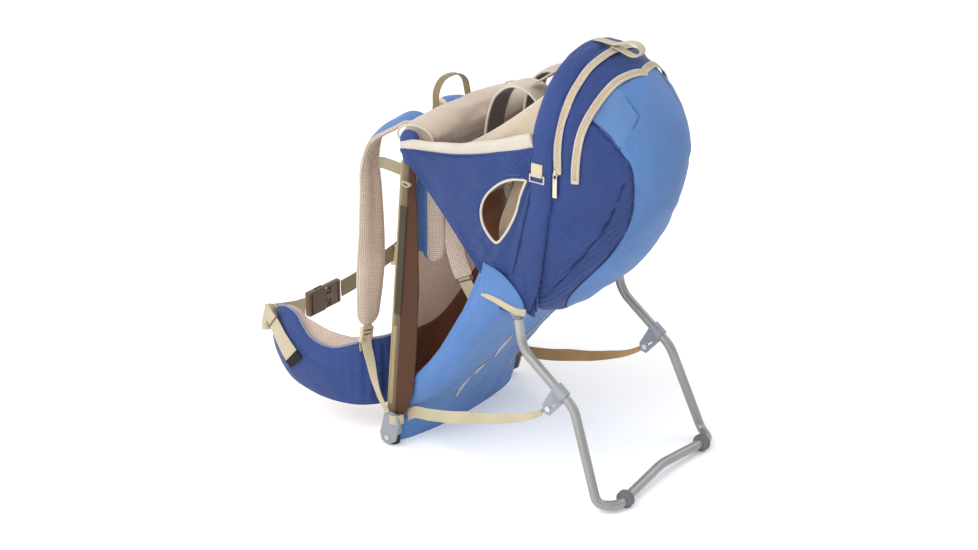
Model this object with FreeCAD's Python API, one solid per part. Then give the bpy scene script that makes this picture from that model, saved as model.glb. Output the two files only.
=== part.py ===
"""Framed child carrier backpack with a folding kickstand.

Millimetres.  +Z is up, +X points from the wearer towards the child's pack, and +Y is the wearer's
right.  The geometry is laid out from the foot of the front posts (x = 0) and moved by ORIGIN_X when
it is written, so that the origin lies on the ground under the middle of the carrier.
"""
import FreeCAD, Part
import math
import os

V = FreeCAD.Vector

# ---- driving dimensions ------------------------------------------------------------------------
ORIGIN_X = 97.2             # from the post foot to the middle of the overall length
SIDES = {"left": -1, "right": 1}

POST_Y = 174.0              # half the spacing of the two front posts
POST_R = 9.5                # frame tube, outside
WALL = 1.6                  # frame tube wall
POST_LEAN = 0.089           # backward lean of the posts, x per z
POST_FOOT_Z = 21.0
POST_TOP_Z = 560.0

HOOP_Y = 150.0              # half width of the rear hoop
HOOP_FOOT = (256.0, 346.0)  # x, z of its lower end
HOOP_KNEE = (300.0, 560.0)
HOOP_SPRING_Z = 600.0       # where the round arch begins
STAY_Y = 156.0              # seat stays, the curved tubes from the feet to the hoop
STAY_R = 7.0

HINGE_X = 256.0             # kickstand hinge line
HINGE_Z = 326.0
HINGE_PIN_R = 4.0
HINGE_FIT = 0.06            # running clearance of the kickstand on its pins
EYE_HALF = 5.0
CHEEK = 5.0
CHEEK_GAP = 0.35

LEG_Y = 154.0               # kickstand legs
LEG_FOOT_Y = 172.0          # their lower ends splay outward to here
LEG_R = 8.3
LEG_TOP = V(260, -LEG_Y, 307)
LEG_ELBOW = V(269, -LEG_Y, 254)
LEG_KNEE = V(376, -LEG_Y, 172)
BAR_X, BAR_Z = 467.0, 14.0  # the kickstand's crossbar at its corners
BAR_CORNER_Y = 150.0
BAR_BOW, BAR_RISE = 8.0, 12.2
RING_Y = 126.0              # rubber rings on the crossbar
RING_R = 15.7
LUG_X, LUG_Z = 348.0, 193.5
LUG_EYE_X, LUG_EYE_Z = 324.0, 156.0

WEB = 22.0                  # narrow webbing
BELT_WEB = 38.0             # hip belt webbing
LOOP_WEB = 19.0
WEB_T = 2.0

BAG_FRONT = 314.0
BAG_SKIN = 4.0

RING_BAR = 1.6              # wire of the side rings
SHEET = 3.0                 # fabric panels


# ---- helpers ------------------------------------------------------------------------------------
def rounded_wire(points, radii):
    """Straight runs joined by tangent arcs, one radius for each inner point."""
    edges = []
    start = points[0]
    for before, corner, after, radius in zip(points, points[1:], points[2:], radii):
        to_before = (before - corner).normalize()
        to_after = (after - corner).normalize()
        half = to_before.getAngle(to_after) / 2
        first = corner + to_before * (radius / math.tan(half))
        last = corner + to_after * (radius / math.tan(half))
        inward = (to_before + to_after).normalize()
        middle = corner + inward * (radius / math.sin(half) - radius)
        edges.append(Part.LineSegment(start, first).toShape())
        edges.append(Part.Arc(first, middle, last).toShape())
        start = last
    edges.append(Part.LineSegment(start, points[-1]).toShape())
    return edges


def sweep_circle(edges, radius):
    path = Part.Wire(edges)
    start = edges[0].valueAt(edges[0].FirstParameter)
    tangent = edges[0].tangentAt(edges[0].FirstParameter)
    circle = Part.Wire(Part.Circle(start, tangent, radius).toShape())
    return path.makePipeShell([circle], True, False)


def tube(edges, outer, inner):
    return sweep_circle(edges, outer).cut(sweep_circle(edges, inner))


def box(x0, x1, y0, y1, z0, z1):
    return Part.makeBox(x1 - x0, y1 - y0, z1 - z0, V(x0, y0, z0))


def rod(centre, direction, radius, length):
    """A cylinder centred on a point."""
    start = centre - V(direction).normalize() * (length / 2)
    return Part.makeCylinder(radius, length, start, direction)


def ribbon(points, thickness, width, across):
    """A strap of constant thickness along a smooth line; across is the direction of its width."""
    curve = Part.BSplineCurve()
    curve.interpolate(points)
    steps = 4 * len(points)
    across = V(across).normalize()
    faces = [[], []]
    for step in range(steps + 1):
        parameter = curve.FirstParameter + (curve.LastParameter - curve.FirstParameter) * step / steps
        normal = across.cross(curve.tangent(parameter)[0]).normalize()
        for side, points_on_side in zip((-1, 1), faces):
            points_on_side.append(curve.value(parameter) + normal * (side * thickness / 2))
    edges = []
    for points_on_side in faces:
        skin = Part.BSplineCurve()
        skin.interpolate(points_on_side)
        edges.append(skin.toShape())
    edges.append(Part.LineSegment(faces[0][0], faces[1][0]).toShape())
    edges.append(Part.LineSegment(faces[0][-1], faces[1][-1]).toShape())
    outline = Part.Wire(Part.__sortEdges__(edges))
    strap = Part.Face(outline).extrude(across * width)
    strap.translate(across * (-width / 2))
    return strap


def prism(outline, y0, y1):
    """An (x, z) polygon extruded from y0 to y1."""
    points = [V(x, y0, z) for x, z in outline]
    points.append(points[0])
    return Part.Face(Part.makePolygon(points)).extrude(V(0, y1 - y0, 0))


def soften(solid, radius):
    """Round every edge, or leave the solid as it is where the radius doesn't fit."""
    try:
        rounded = solid.makeFillet(radius, solid.Edges)
    except Part.OCCError:
        return solid
    return rounded if rounded.isValid() else solid


def xz(points, y):
    return [V(x, y, z) for x, z in points]


def mirrored(shape):
    """The right-hand copy of a left-hand piece."""
    return shape.mirror(V(0, 0, 0), V(0, 1, 0))


def for_side(shape, side):
    return shape if side < 0 else mirrored(shape)


def post_x(z):
    return POST_LEAN * z


# ---- aluminium frame ----------------------------------------------------------------------------
def post_axis(side, low, high):
    return V(post_x(low), side * POST_Y, low), V(post_x(high), side * POST_Y, high)


def front_post(side):
    low, high = post_axis(side, POST_FOOT_Z, POST_TOP_Z)
    run = high - low
    outer = Part.makeCylinder(POST_R, run.Length, low, run)
    return outer.cut(Part.makeCylinder(POST_R - WALL, run.Length, low, run))


def solid_post(side):
    low, high = post_axis(side, 0.0, POST_TOP_Z + 20)
    return Part.makeCylinder(POST_R, (high - low).Length, low, high - low)


def cross_tubes():
    """Two bars between the posts, notched to fit round them and the foot brackets."""
    bars = []
    for z in (33.0, 534.0):
        bar = rod(V(post_x(z), 0, z), V(0, 1, 0), 6.5, 2 * POST_Y)
        bar = bar.cut(rod(V(post_x(z), 0, z), V(0, 1, 0), 5.0, 2 * POST_Y))
        for side in SIDES.values():
            bar = bar.cut([solid_post(side), for_side(bracket_socket(), side)])
        bars.append(max(bar.Solids, key=lambda solid: solid.Volume))
    return Part.makeCompound(bars)


def hoop_edges():
    left = [V(HOOP_FOOT[0], -HOOP_Y, HOOP_FOOT[1]), V(HOOP_KNEE[0], -HOOP_Y, HOOP_KNEE[1]),
            V(HOOP_KNEE[0], -HOOP_Y, HOOP_SPRING_Z)]
    right = [V(point.x, HOOP_Y, point.z) for point in reversed(left)]
    top = V(HOOP_KNEE[0], 0, HOOP_SPRING_Z + HOOP_Y)
    arch = Part.Arc(left[-1], top, right[0]).toShape()
    return rounded_wire(left, [150.0]) + [arch] + rounded_wire(right, [150.0])


def rear_hoop():
    return tube(hoop_edges(), POST_R, POST_R - WALL)


STAY_ROUTE = [(8.0, 58.0), (13.0, 114.0), (70.0, 156.0), (138.0, 232.0), (196.0, 326.0), (254.0, 395.0)]
STAY_BENDS = [30.0, 60.0, 120.0, 200.0]


def seat_stay(side):
    """The curved tube from the post's foot up to the hoop, on which the seat sling hangs."""
    stay = tube(stay_edges(side * STAY_Y), STAY_R, STAY_R - WALL)
    stay = stay.cut(sweep_circle(hoop_edges(), POST_R))
    return max(stay.Solids, key=lambda solid: solid.Volume)


def bracket_socket():
    low, high = post_axis(-1, POST_FOOT_Z, 64.0)
    return Part.makeCylinder(13.0, (high - low).Length, low, high - low)


def stay_edges(y):
    return rounded_wire(xz(STAY_ROUTE, y), STAY_BENDS)


def foot_bracket():
    """Left foot casting: a socket round the post, a cheek outside it and a boss for the seat stay."""
    cheek_y = -POST_Y - 18.0
    outline = [(-17, 22), (-14, 8), (2, 2), (17, 12), (27, 50), (22, 66), (8, 70), (-6, 64)]
    cheek = prism(outline, cheek_y, cheek_y + 4.0)
    web = box(-4, 14, cheek_y + 3.0, -POST_Y, 24, 58)
    boss = rod(V(8, -STAY_Y - 1, 51), V(0, 0, 1), 9.5, 14)
    bracket = bracket_socket().fuse([cheek, web, boss]).cut(solid_post(-1))
    bracket = bracket.cut(sweep_circle(stay_edges(-STAY_Y), STAY_R))
    bracket = bracket.cut(rod(V(-1, cheek_y, 16), V(0, 1, 0), 3.0, 20))
    return bracket.removeSplitter()


def rubber_foot(side):
    return Part.makeCone(10.5, 12.0, POST_FOOT_Z - 1.6, V(0.8, side * POST_Y, 0))


def bracket_rivets():
    """A rivet with two heads through each foot bracket's cheek."""
    rivets = []
    for side in SIDES.values():
        y = side * (POST_Y + 16.0)
        shank = rod(V(-1, y, 16), V(0, 1, 0), 2.95, 4.0)
        heads = [rod(V(-1, y + step, 16), V(0, 1, 0), 4.6, 1.4) for step in (-2.7, 2.7)]
        rivets.append(shank.fuse(heads))
    return Part.makeCompound(rivets)


# ---- kickstand hinge ----------------------------------------------------------------------------
def hinge_knuckle():
    """Left knuckle: a block on the hoop's lower end with two cheeks for the kickstand's eye."""
    reach = EYE_HALF + CHEEK_GAP
    block = box(HINGE_X - 13, HINGE_X + 13, -LEG_Y - 12, -LEG_Y + 16, HOOP_FOOT[1] - 3, HOOP_FOOT[1] + 24)
    block = soften(block, 3.0)
    cheeks = []
    for y in (-LEG_Y - reach - CHEEK, -LEG_Y + reach):
        cheek = box(HINGE_X - 11, HINGE_X + 11, y, y + CHEEK, HINGE_Z, HOOP_FOOT[1])
        cheeks.append(cheek.fuse(rod(V(HINGE_X, y + CHEEK / 2, HINGE_Z), V(0, 1, 0), 11.0, CHEEK)))
    knuckle = block.fuse(cheeks).cut(sweep_circle(hoop_edges(), POST_R))
    pin_hole = rod(V(HINGE_X, -LEG_Y, HINGE_Z), V(0, 1, 0), HINGE_PIN_R, 60)
    knuckle = knuckle.cut(pin_hole)
    knuckle = knuckle.cut(sweep_circle(stay_edges(-STAY_Y), STAY_R))
    return max(knuckle.Solids, key=lambda solid: solid.Volume)


def hinge_pins():
    pins = []
    length = 2 * (EYE_HALF + CHEEK_GAP + CHEEK) + 2
    for side in SIDES.values():
        pins.append(rod(V(HINGE_X, side * LEG_Y, HINGE_Z), V(0, 1, 0), HINGE_PIN_R, length))
    return Part.makeCompound(pins)


# ---- kickstand ----------------------------------------------------------------------------------
def kickstand_edges():
    left = [LEG_TOP, LEG_ELBOW, LEG_KNEE, V(438, -LEG_FOOT_Y, BAR_Z + 1), V(BAR_X, -BAR_CORNER_Y, BAR_Z)]
    middle = V(BAR_X - BAR_BOW, 0, BAR_Z + BAR_RISE)
    right = [V(point.x, -point.y, point.z) for point in reversed(left)]
    radii = [55.0, 60.0, 20.0, 26.0]
    return rounded_wire(left + [middle] + right, radii + [150.0] + radii[::-1])


def kickstand_tube():
    return tube(kickstand_edges(), LEG_R, LEG_R - WALL)


def kickstand_eyes():
    """Flat eyes plugged into the tube's upper ends, running on the hinge pins."""
    eyes = []
    for side in SIDES.values():
        y = side * LEG_Y
        disc = rod(V(HINGE_X, y, HINGE_Z), V(0, 1, 0), 10.0, 2 * EYE_HALF)
        down = (LEG_ELBOW - LEG_TOP).normalize()
        tongue = box(-7.5, 7.5, -EYE_HALF, EYE_HALF, -19.3, 0)
        tongue.rotate(V(0, 0, 0), V(0, 1, 0), -math.degrees(math.atan2(down.x, -down.z)))
        tongue.translate(V(HINGE_X, y, HINGE_Z))
        plug = Part.makeCylinder(LEG_R - WALL - 0.05, 24, V(LEG_TOP.x, y, LEG_TOP.z) - down * 3, down)
        eye = disc.fuse([tongue, plug])
        eyes.append(eye.cut(rod(V(HINGE_X, y, HINGE_Z), V(0, 1, 0), HINGE_PIN_R + HINGE_FIT, 40)))
    return Part.makeCompound(eyes)


def strap_lug():
    """Left clamp sleeve with a flat lug, where the holding strap is pinned."""
    along = (LEG_KNEE - LEG_ELBOW).normalize()
    sleeve = rod(V(LUG_X, -LEG_Y, LUG_Z), along, LEG_R + 3.5, 25)
    outline = [(LUG_X - 13, LUG_Z + 8), (LUG_EYE_X - 11, LUG_EYE_Z + 6), (LUG_EYE_X - 10, LUG_EYE_Z - 8),
               (LUG_EYE_X + 3, LUG_EYE_Z - 12), (LUG_X + 12, LUG_Z - 12)]
    lug = sleeve.fuse(prism(outline, -LEG_Y - 2.5, -LEG_Y + 2.5))
    lug = lug.cut(rod(V(LUG_EYE_X, -LEG_Y, LUG_EYE_Z), V(0, 1, 0), 3.5, 20))
    for reach in (10.0, 16.0):
        slot = box(-1.2, 1.2, -8, 8, -5, 5)
        slot.rotate(V(0, 0, 0), V(0, 1, 0), 40)
        slot.translate(V(LUG_EYE_X + reach * 0.76, -LEG_Y, LUG_EYE_Z + reach * 0.64))
        lug = lug.cut(slot)
    straight = rod(V(LUG_X, -LEG_Y, LUG_Z), along, LEG_R + 0.03, 60)
    return lug.cut(straight)


def lug_rivets():
    rivets = []
    for side in SIDES.values():
        y = side * LEG_Y
        shank = rod(V(LUG_EYE_X, y, LUG_EYE_Z), V(0, 1, 0), 3.45, 5.0)
        heads = [rod(V(LUG_EYE_X, y + step, LUG_EYE_Z), V(0, 1, 0), 5.2, 1.4) for step in (-3.2, 3.2)]
        rivets.append(shank.fuse(heads))
    return Part.makeCompound(rivets)


def foot_rings():
    """Rubber rings round the crossbar, the kickstand's feet."""
    rings = []
    for side in SIDES.values():
        share = 1 - RING_Y / BAR_CORNER_Y
        centre = V(BAR_X - BAR_BOW * share, side * RING_Y, BAR_Z + BAR_RISE * share)
        along = V(BAR_BOW, side * BAR_CORNER_Y, -BAR_RISE)
        ring = rod(centre, along, RING_R, 12).cut(rod(centre, along, LEG_R + 0.03, 30))
        rim = [edge for edge in ring.Edges if abs(edge.Length - 2 * math.pi * RING_R) < 0.1]
        rings.append(ring.makeFillet(2.5, rim))
    return Part.makeCompound(rings)


def kickstand_strap():
    """Left webbing that stops the kickstand from opening further."""
    route = [(30, 62), (73, 70), (162, 93), (248, 118), (301, 140), (316, 150)]
    return ribbon(xz(route, -LEG_Y - 5.5), WEB, WEB_T, V(0, 1, 0))


# ---- pack and cockpit ---------------------------------------------------------------------------
def bag_section(x, half_width, low, high, power):
    """A closed, softly squared loop across the pack at one x."""
    points = []
    centre = (low + high) / 2
    for step in range(20):
        angle = 2 * math.pi * step / 20
        cosine, sine = math.cos(angle), math.sin(angle)
        y = half_width * math.copysign(abs(cosine) ** (2 / power), cosine)
        z = (high - low) / 2 * math.copysign(abs(sine) ** (2 / power), sine)
        points.append(V(x, y, centre + z))
    loop = Part.BSplineCurve()
    loop.interpolate(points, PeriodicFlag=True)
    return Part.Wire(loop.toShape())


BAG_STATIONS = [(314, 150, 300, 762, 2.7), (348, 146, 325, 757, 2.5), (388, 131, 374, 741, 2.3),
                (422, 106, 430, 710, 2.05), (452, 70, 492, 668, 2.0), (470, 28, 548, 624, 2.0)]


def bag_outside():
    return Part.makeLoft([bag_section(*station) for station in BAG_STATIONS], True)


def rear_pack():
    """The storage pack behind the hoop: a closed fabric shell."""
    inner_sections = []
    for x, half_width, low, high, power in BAG_STATIONS[:-1]:
        inner_x = BAG_FRONT + BAG_SKIN + (x - BAG_FRONT) * 0.97
        inner_sections.append(bag_section(inner_x, half_width - 5, low + 5, high - 5, power))
    return bag_outside().cut(Part.makeLoft(inner_sections, True))


def side_y(x):
    """Half width of the side panels, which run in from the posts to the hoop."""
    return 178.0 - (x - 45.0) * 0.068


def cockpit_side():
    """Left side panel with its teardrop leg opening."""
    outline = [(63, 564), (63, 536), (205, 372), (222, 352), (236, 362), (268, 480), (286, 566),
               (286, 597), (230, 580), (170, 571)]
    panel = prism(outline, -SHEET / 2, SHEET / 2)
    opening = Part.Wire([Part.Arc(V(252, 0, 566), V(205, 0, 535), V(196, 0, 494)).toShape(),
                         Part.Arc(V(196, 0, 494), V(205, 0, 462), V(225, 0, 441)).toShape(),
                         Part.Arc(V(225, 0, 441), V(254, 0, 500), V(252, 0, 566)).toShape()])
    cutter = Part.Face(opening).extrude(V(0, 40, 0))
    cutter.translate(V(0, -20, 0))
    panel = panel.cut(cutter)
    panel.translate(V(0, -side_y(45.0), 0))
    panel.rotate(V(45, -side_y(45.0), 0), V(0, 0, 1), math.degrees(math.atan(0.068)))
    return panel


def rim_pad():
    """Left padded rim, from the post's top back to the hoop."""
    start = V(58, -174, 582)
    end = V(286, -152, 612)
    dip = V(170, -165, 584)
    curve = Part.BSplineCurve()
    curve.interpolate([start, dip, end])
    edge = curve.toShape()
    section = Part.Wire(Part.Circle(start, curve.tangent(0)[0], 11.0).toShape())
    return Part.Wire(edge).makePipeShell([section], True, False)


def front_roll():
    """Padded bolster between the post tops."""
    ellipse = Part.Ellipse(V(42, 0, 585), 48, 27).toShape()
    ellipse.rotate(V(42, 0, 585), V(1, 0, 0), 90)
    roll = Part.Face(Part.Wire(ellipse)).extrude(V(0, 304, 0))
    roll.translate(V(0, -152 - roll.BoundBox.YMin, 0))
    return roll


POUCH_FRONT = [(13, 6), (14, 52), (26, 102), (70, 138), (140, 216), (200, 312)]
POUCH_REAR = [(42, 3), (50, 34), (63, 72), (98, 124), (160, 194), (222, 292)]


def pouch_section(y, bulge):
    """Front and rear lines of the sling pouch across its width; bulge runs from 0 to 1."""
    rear_points = []
    for (front_x, front_z), (rear_x, rear_z) in zip(POUCH_FRONT, POUCH_REAR):
        share = 0.22 + 0.78 * bulge
        rear_points.append(V(front_x + (rear_x - front_x) * share, y, front_z + (rear_z - front_z) * share))
    front = Part.BSplineCurve()
    front.interpolate(xz(POUCH_FRONT, y))
    rear = Part.BSplineCurve()
    rear.interpolate(rear_points[::-1])
    top = Part.LineSegment(V(*xz(POUCH_FRONT, y)[-1]), rear_points[-1])
    bottom = Part.LineSegment(rear_points[0], xz(POUCH_FRONT, y)[0])
    return Part.Wire([front.toShape(), top.toShape(), rear.toShape(), bottom.toShape()])


def storage_pouch():
    """The sling pouch that hangs between the seat stays, from the hoop down to the feet."""
    stations = [(-140, 0.0), (-80, 0.72), (0, 1.0), (80, 0.72), (140, 0.0)]
    return Part.makeLoft([pouch_section(y, bulge) for y, bulge in stations], True)


def child_seat():
    """The padded saddle strip that carries the child."""
    route = [(84, 452), (96, 372), (132, 322), (190, 318), (240, 366), (258, 420)]
    return ribbon(xz(route, 0), 12.0, 130.0, V(0, 1, 0))


def seat_back_pad():
    route = [(276, 442), (286, 540), (284, 640), (281, 690)]
    return ribbon(xz(route, 0), 16.0, 190.0, V(0, 1, 0))


def harness_strap():
    """Left shoulder pad of the child's harness."""
    route = [(128, 500), (124, 560), (134, 622), (172, 676), (222, 688), (254, 712)]
    return ribbon(xz(route, -52), 11.0, 56.0, V(0, 1, 0))


def harness_buckle():
    """Chest buckle between the two harness pads."""
    body = box(112, 121, -19, 19, 552, 582)
    return soften(body, 3.0)


# ---- back panel, straps and hip belt ------------------------------------------------------------
def back_panel():
    """Mesh and nylon panel laced between the posts."""
    low, high = 74.0, 520.0
    route = [(post_x(low) - 14, low), (post_x(300) - 15, 300.0), (post_x(high) - 14, high)]
    return ribbon(xz(route, 0), 4.0, 2 * POST_Y - 30, V(0, 1, 0))


def lumbar_pad():
    pad = box(-38, -12, -104, 104, 70, 215)
    return soften(pad, 9.0)


STRAP_TOP_Y = 93.0
STRAP_TOP_Z = 622.0
STRAP_SPLAY = 0.235         # how far each strap runs outward for each step down


def splay(shape):
    """Lean a left strap outward about its top."""
    angle = math.degrees(math.atan(STRAP_SPLAY))
    leaning = shape.copy()
    leaning.rotate(V(0, -STRAP_TOP_Y, STRAP_TOP_Z), V(1, 0, 0), -angle)
    return leaning


def down_strap(z):
    """Where a height on the leaning strap lies before the strap is leaned."""
    return STRAP_TOP_Z - (STRAP_TOP_Z - z) * math.hypot(1, STRAP_SPLAY)


def shoulder_strap():
    """Left padded shoulder strap, from the bolster over the shoulder and down."""
    route = [(-16, 580), (-19, 596), (-34, 606), (-53, 589), (-70, 552), (-81, 498), (-72, 440), (-54, 357),
             (-47, 270), (-44, 226)]
    lowered = [(x, down_strap(z)) for x, z in route]
    return splay(ribbon(xz(lowered, -STRAP_TOP_Y), 14.0, 52.0, V(0, 1, 0)))


def shoulder_webbing():
    """Left lower webbing, from the ladder lock down to the foot bracket."""
    route = [(-43, 191), (-29, 138), (-11, 77)]
    return ribbon(xz(route, -191), WEB_T, WEB, V(0, 1, 0))


def ladder_lock():
    """Left strap adjuster: a frame with bars, hinged in a loop below the shoulder strap."""
    top = down_strap(222.0)
    middle = -STRAP_TOP_Y
    frame = soften(box(-48.5, -41.5, middle - 16, middle + 16, top - 27, top), 1.5)
    for drop in (7.5, 15.5, 23.0):
        frame = frame.cut(box(-60, -30, middle - 11.5, middle + 11.5, top - drop, top - drop + 3.6))
    return splay(frame)


HIP_PLAN = [(-26, -108), (-35, -145), (-60, -182), (-105, -209), (-160, -219), (-215, -214), (-256, -194),
            (-272, -170)]
HIP_OUTLINE = [(0, 66), (-40, 63), (-75, 63), (-126, 69), (-180, 83), (-232, 106), (-257, 140),
               (-263, 170), (-254, 195), (-232, 214), (-201, 223), (-176, 222), (-157, 207), (-136, 188),
               (-103, 179), (-69, 187), (-40, 190), (0, 190)]


def hip_wing():
    """Left wing of the hip belt, curving forward from the lumbar pad."""
    plan = [V(x, y, 130) for x, y in HIP_PLAN]
    band = ribbon(plan, 13.0, 200.0, V(0, 0, 1))
    return band.common(prism(HIP_OUTLINE, -260, -60))


def hip_webbing():
    """Left belt webbing from the wing's tip to the buckle."""
    plan = [V(-269, -166, 163), V(-277, -132, 163), V(-279, -82, 163)]
    return ribbon(plan, WEB_T, BELT_WEB, V(0, 0, 1))


def far_webbing():
    """Right belt webbing from the buckle to the wing's tip."""
    plan = [V(-279, 15, 163), V(-279, 80, 163), V(-269, 166, 163)]
    return ribbon(plan, WEB_T, BELT_WEB, V(0, 0, 1))


BUCKLE_X = -280.0
BUCKLE_Z = 163.0


def buckle_socket():
    """Female half: a flat housing, open towards the plug, with side windows for the prongs."""
    shell = soften(box(BUCKLE_X - 7, BUCKLE_X + 7, -81, -33, BUCKLE_Z - 25, BUCKLE_Z + 25), 4.0)
    shell = shell.cut(box(BUCKLE_X - 4, BUCKLE_X + 4, -66, -30, BUCKLE_Z - 20, BUCKLE_Z + 20))
    for low in (BUCKLE_Z - 30, BUCKLE_Z + 16):
        shell = shell.cut(box(BUCKLE_X - 4, BUCKLE_X + 4, -60, -40, low, low + 14))
    return shell.cut(box(BUCKLE_X - 9, BUCKLE_X + 9, -76, -72.2, BUCKLE_Z - 20, BUCKLE_Z + 20))


def buckle_plug():
    """Male half: a web bar, a shoulder and a centre tongue."""
    shoulder = soften(box(BUCKLE_X - 6, BUCKLE_X + 6, -32.4, 11, BUCKLE_Z - 24, BUCKLE_Z + 24), 4.0)
    shoulder = shoulder.cut(box(BUCKLE_X - 9, BUCKLE_X + 9, 0, 3.8, BUCKLE_Z - 20, BUCKLE_Z + 20))
    shoulder = shoulder.cut(box(BUCKLE_X - 9, BUCKLE_X + 9, -34, -18, BUCKLE_Z - 19.6, BUCKLE_Z - 5))
    shoulder = shoulder.cut(box(BUCKLE_X - 9, BUCKLE_X + 9, -34, -18, BUCKLE_Z + 5, BUCKLE_Z + 19.6))
    tongue = box(BUCKLE_X - 3.4, BUCKLE_X + 3.4, -62, -18, BUCKLE_Z - 4.5, BUCKLE_Z + 4.5)
    return shoulder.fuse(tongue)


def buckle_prong(sign):
    """A springy prong whose tip fills the socket's side window."""
    outline = [(-19.0, 7.0), (-19.0, 12.0), (-40.5, 19.0), (-40.5, 23.0), (-50.0, 23.0), (-58.0, 14.0),
               (-58.0, 9.0), (-50.0, 12.0), (-40.0, 11.0)]
    points = [V(BUCKLE_X - 3.2, y, BUCKLE_Z + sign * z) for y, z in outline]
    points.append(points[0])
    return Part.Face(Part.makePolygon(points)).extrude(V(6.4, 0, 0))


def grab_handle():
    """Webbing loop standing on the bolster, sewn down at both ends."""
    route = [(-46, 608), (-44, 626), (-28, 643), (0, 649), (28, 643), (44, 626), (46, 608)]
    return ribbon([V(5, y, z) for y, z in route], 2.4, 14.0, V(1, 0, 0))


def hang_loop():
    """Webbing loop at the top of the pack."""
    outer = Part.Face(Part.Wire(Part.Ellipse(V(366, 0, 0), 31, 11).toShape()))
    inner = Part.Face(Part.Wire(Part.Ellipse(V(366, 0, 0), 29, 9).toShape()))
    loop = outer.cut(inner).extrude(V(0, 0, LOOP_WEB))
    loop.rotate(V(366, 0, 0), V(1, 0, 0), 90)
    loop.translate(V(0, LOOP_WEB / 2, 0))
    loop.rotate(V(366, 0, 0), V(0, 1, 0), 18)
    loop.translate(V(0, 0, 759))
    loop = loop.cut(bag_outside())
    return max(loop.Solids, key=lambda solid: solid.Volume)


# ---- rings and zips -----------------------------------------------------------------------------
TAB_X, TAB_Z = 302.0, 576.0
TAB_HALF = 10.5
TAB_Y = HOOP_Y + POST_R + 4.6


def ring_tabs():
    """Webbing tabs on the hoop, folded round the bar of each side ring."""
    tabs = []
    for side in SIDES.values():
        y = side * TAB_Y
        strap = box(TAB_X - TAB_HALF, TAB_X + TAB_HALF, y - 1.2, y + 1.2, TAB_Z, TAB_Z + 20)
        fold = rod(V(TAB_X, y, TAB_Z), V(1, 0, 0), 3.4, 2 * TAB_HALF)
        tabs.append(strap.fuse(fold).cut(rod(V(TAB_X, y, TAB_Z), V(1, 0, 0), RING_BAR + 0.08, 40)))
    return Part.makeCompound(tabs)


def side_ring(side):
    """Rectangular wire ring that hangs in its tab."""
    y = side * TAB_Y
    half, drop = TAB_HALF + 3.0, 12.0
    top = rod(V(TAB_X, y, TAB_Z), V(1, 0, 0), RING_BAR, 2 * half)
    bottom = rod(V(TAB_X, y, TAB_Z - drop), V(1, 0, 0), RING_BAR, 2 * half)
    legs = [rod(V(TAB_X + dx, y, TAB_Z - drop / 2), V(0, 0, 1), RING_BAR, drop) for dx in (-half, half)]
    balls = [Part.makeSphere(RING_BAR, V(TAB_X + dx, y, z)) for dx in (-half, half)
             for z in (TAB_Z, TAB_Z - drop)]
    return top.fuse([bottom] + legs + balls)


ZIP_FRONT = (331.0, -150.4, 585.0)
ZIP_REAR = (366.0, -144.1, 572.0)   # as if on the left; it is mirrored to the right-hand side


def zip_slider(place):
    """Slider body with a bridge that holds its pull."""
    x, y, z = place
    body = soften(box(x - 4.5, x + 4.5, y - 2.2, y + 1.2, z - 7, z + 7), 1.0)
    bridge = box(x - 1.6, x + 1.6, y - 5.2, y - 1.9, z - 5, z + 4)
    hole = rod(V(x, y - 3.6, z - 2.6), V(1, 0, 0), 1.05, 20)
    return body.fuse(bridge).cut(hole)


def zip_pull(place):
    """Ring through the slider's bridge with a flat tab below it."""
    x, y, z = place
    pivot = V(x, y - 3.6, z - 2.6)
    pin = rod(pivot, V(1, 0, 0), 1.0, 8.0)
    arms = [box(x + dx - 0.9, x + dx + 0.9, pivot.y - 1.0, pivot.y + 1.0, z - 14, z - 1.6)
            for dx in (-3.1, 3.1)]
    tab = box(x - 4.0, x + 4.0, pivot.y - 1.0, pivot.y + 1.0, z - 44, z - 11)
    return pin.fuse(arms + [tab])


# ---- write the parts ----------------------------------------------------------------------------
def pieces():
    parts = {
        "cross_tubes": cross_tubes(), "rear_hoop": rear_hoop(), "bracket_rivets": bracket_rivets(),
        "hinge_pins": hinge_pins(), "kickstand_tube": kickstand_tube(),
        "kickstand_eyes": kickstand_eyes(), "lug_rivets": lug_rivets(), "kickstand_rings": foot_rings(),
        "rear_pack": rear_pack(), "front_roll": front_roll(), "storage_pouch": storage_pouch(),
        "child_seat": child_seat(), "seat_back_pad": seat_back_pad(),
        "harness_buckle": harness_buckle(), "back_panel": back_panel(), "lumbar_pad": lumbar_pad(),
        "hip_webbing_left": hip_webbing(),
        "hip_webbing_right": far_webbing(), "hip_buckle_socket": buckle_socket(),
        "hip_buckle_plug": buckle_plug(), "buckle_prong_upper": buckle_prong(1),
        "buckle_prong_lower": buckle_prong(-1), "grab_handle": grab_handle(),
        "hang_loop": hang_loop(), "ring_tabs": ring_tabs(), "zip_slider_front": zip_slider(ZIP_FRONT),
        "zip_pull_front": zip_pull(ZIP_FRONT), "zip_slider_rear": mirrored(zip_slider(ZIP_REAR)),
        "zip_pull_rear": mirrored(zip_pull(ZIP_REAR)),
    }
    mirrored_makers = {
        "foot_bracket": foot_bracket, "hinge_knuckle": hinge_knuckle, "strap_lug": strap_lug,
        "kickstand_strap": kickstand_strap, "cockpit_side": cockpit_side, "rim_pad": rim_pad,
        "harness_strap": harness_strap, "shoulder_strap": shoulder_strap,
        "shoulder_webbing": shoulder_webbing, "hip_wing": hip_wing, "ladder_lock": ladder_lock,
    }
    sided_makers = {"post": front_post, "seat_stay": seat_stay, "rubber_foot": rubber_foot,
                    "side_ring": side_ring}
    for word, side in SIDES.items():
        for name, maker in mirrored_makers.items():
            parts[f"{name}_{word}"] = for_side(maker(), side)
        for name, maker in sided_makers.items():
            parts[f"{name}_{word}"] = maker(side)
    return parts


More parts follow.
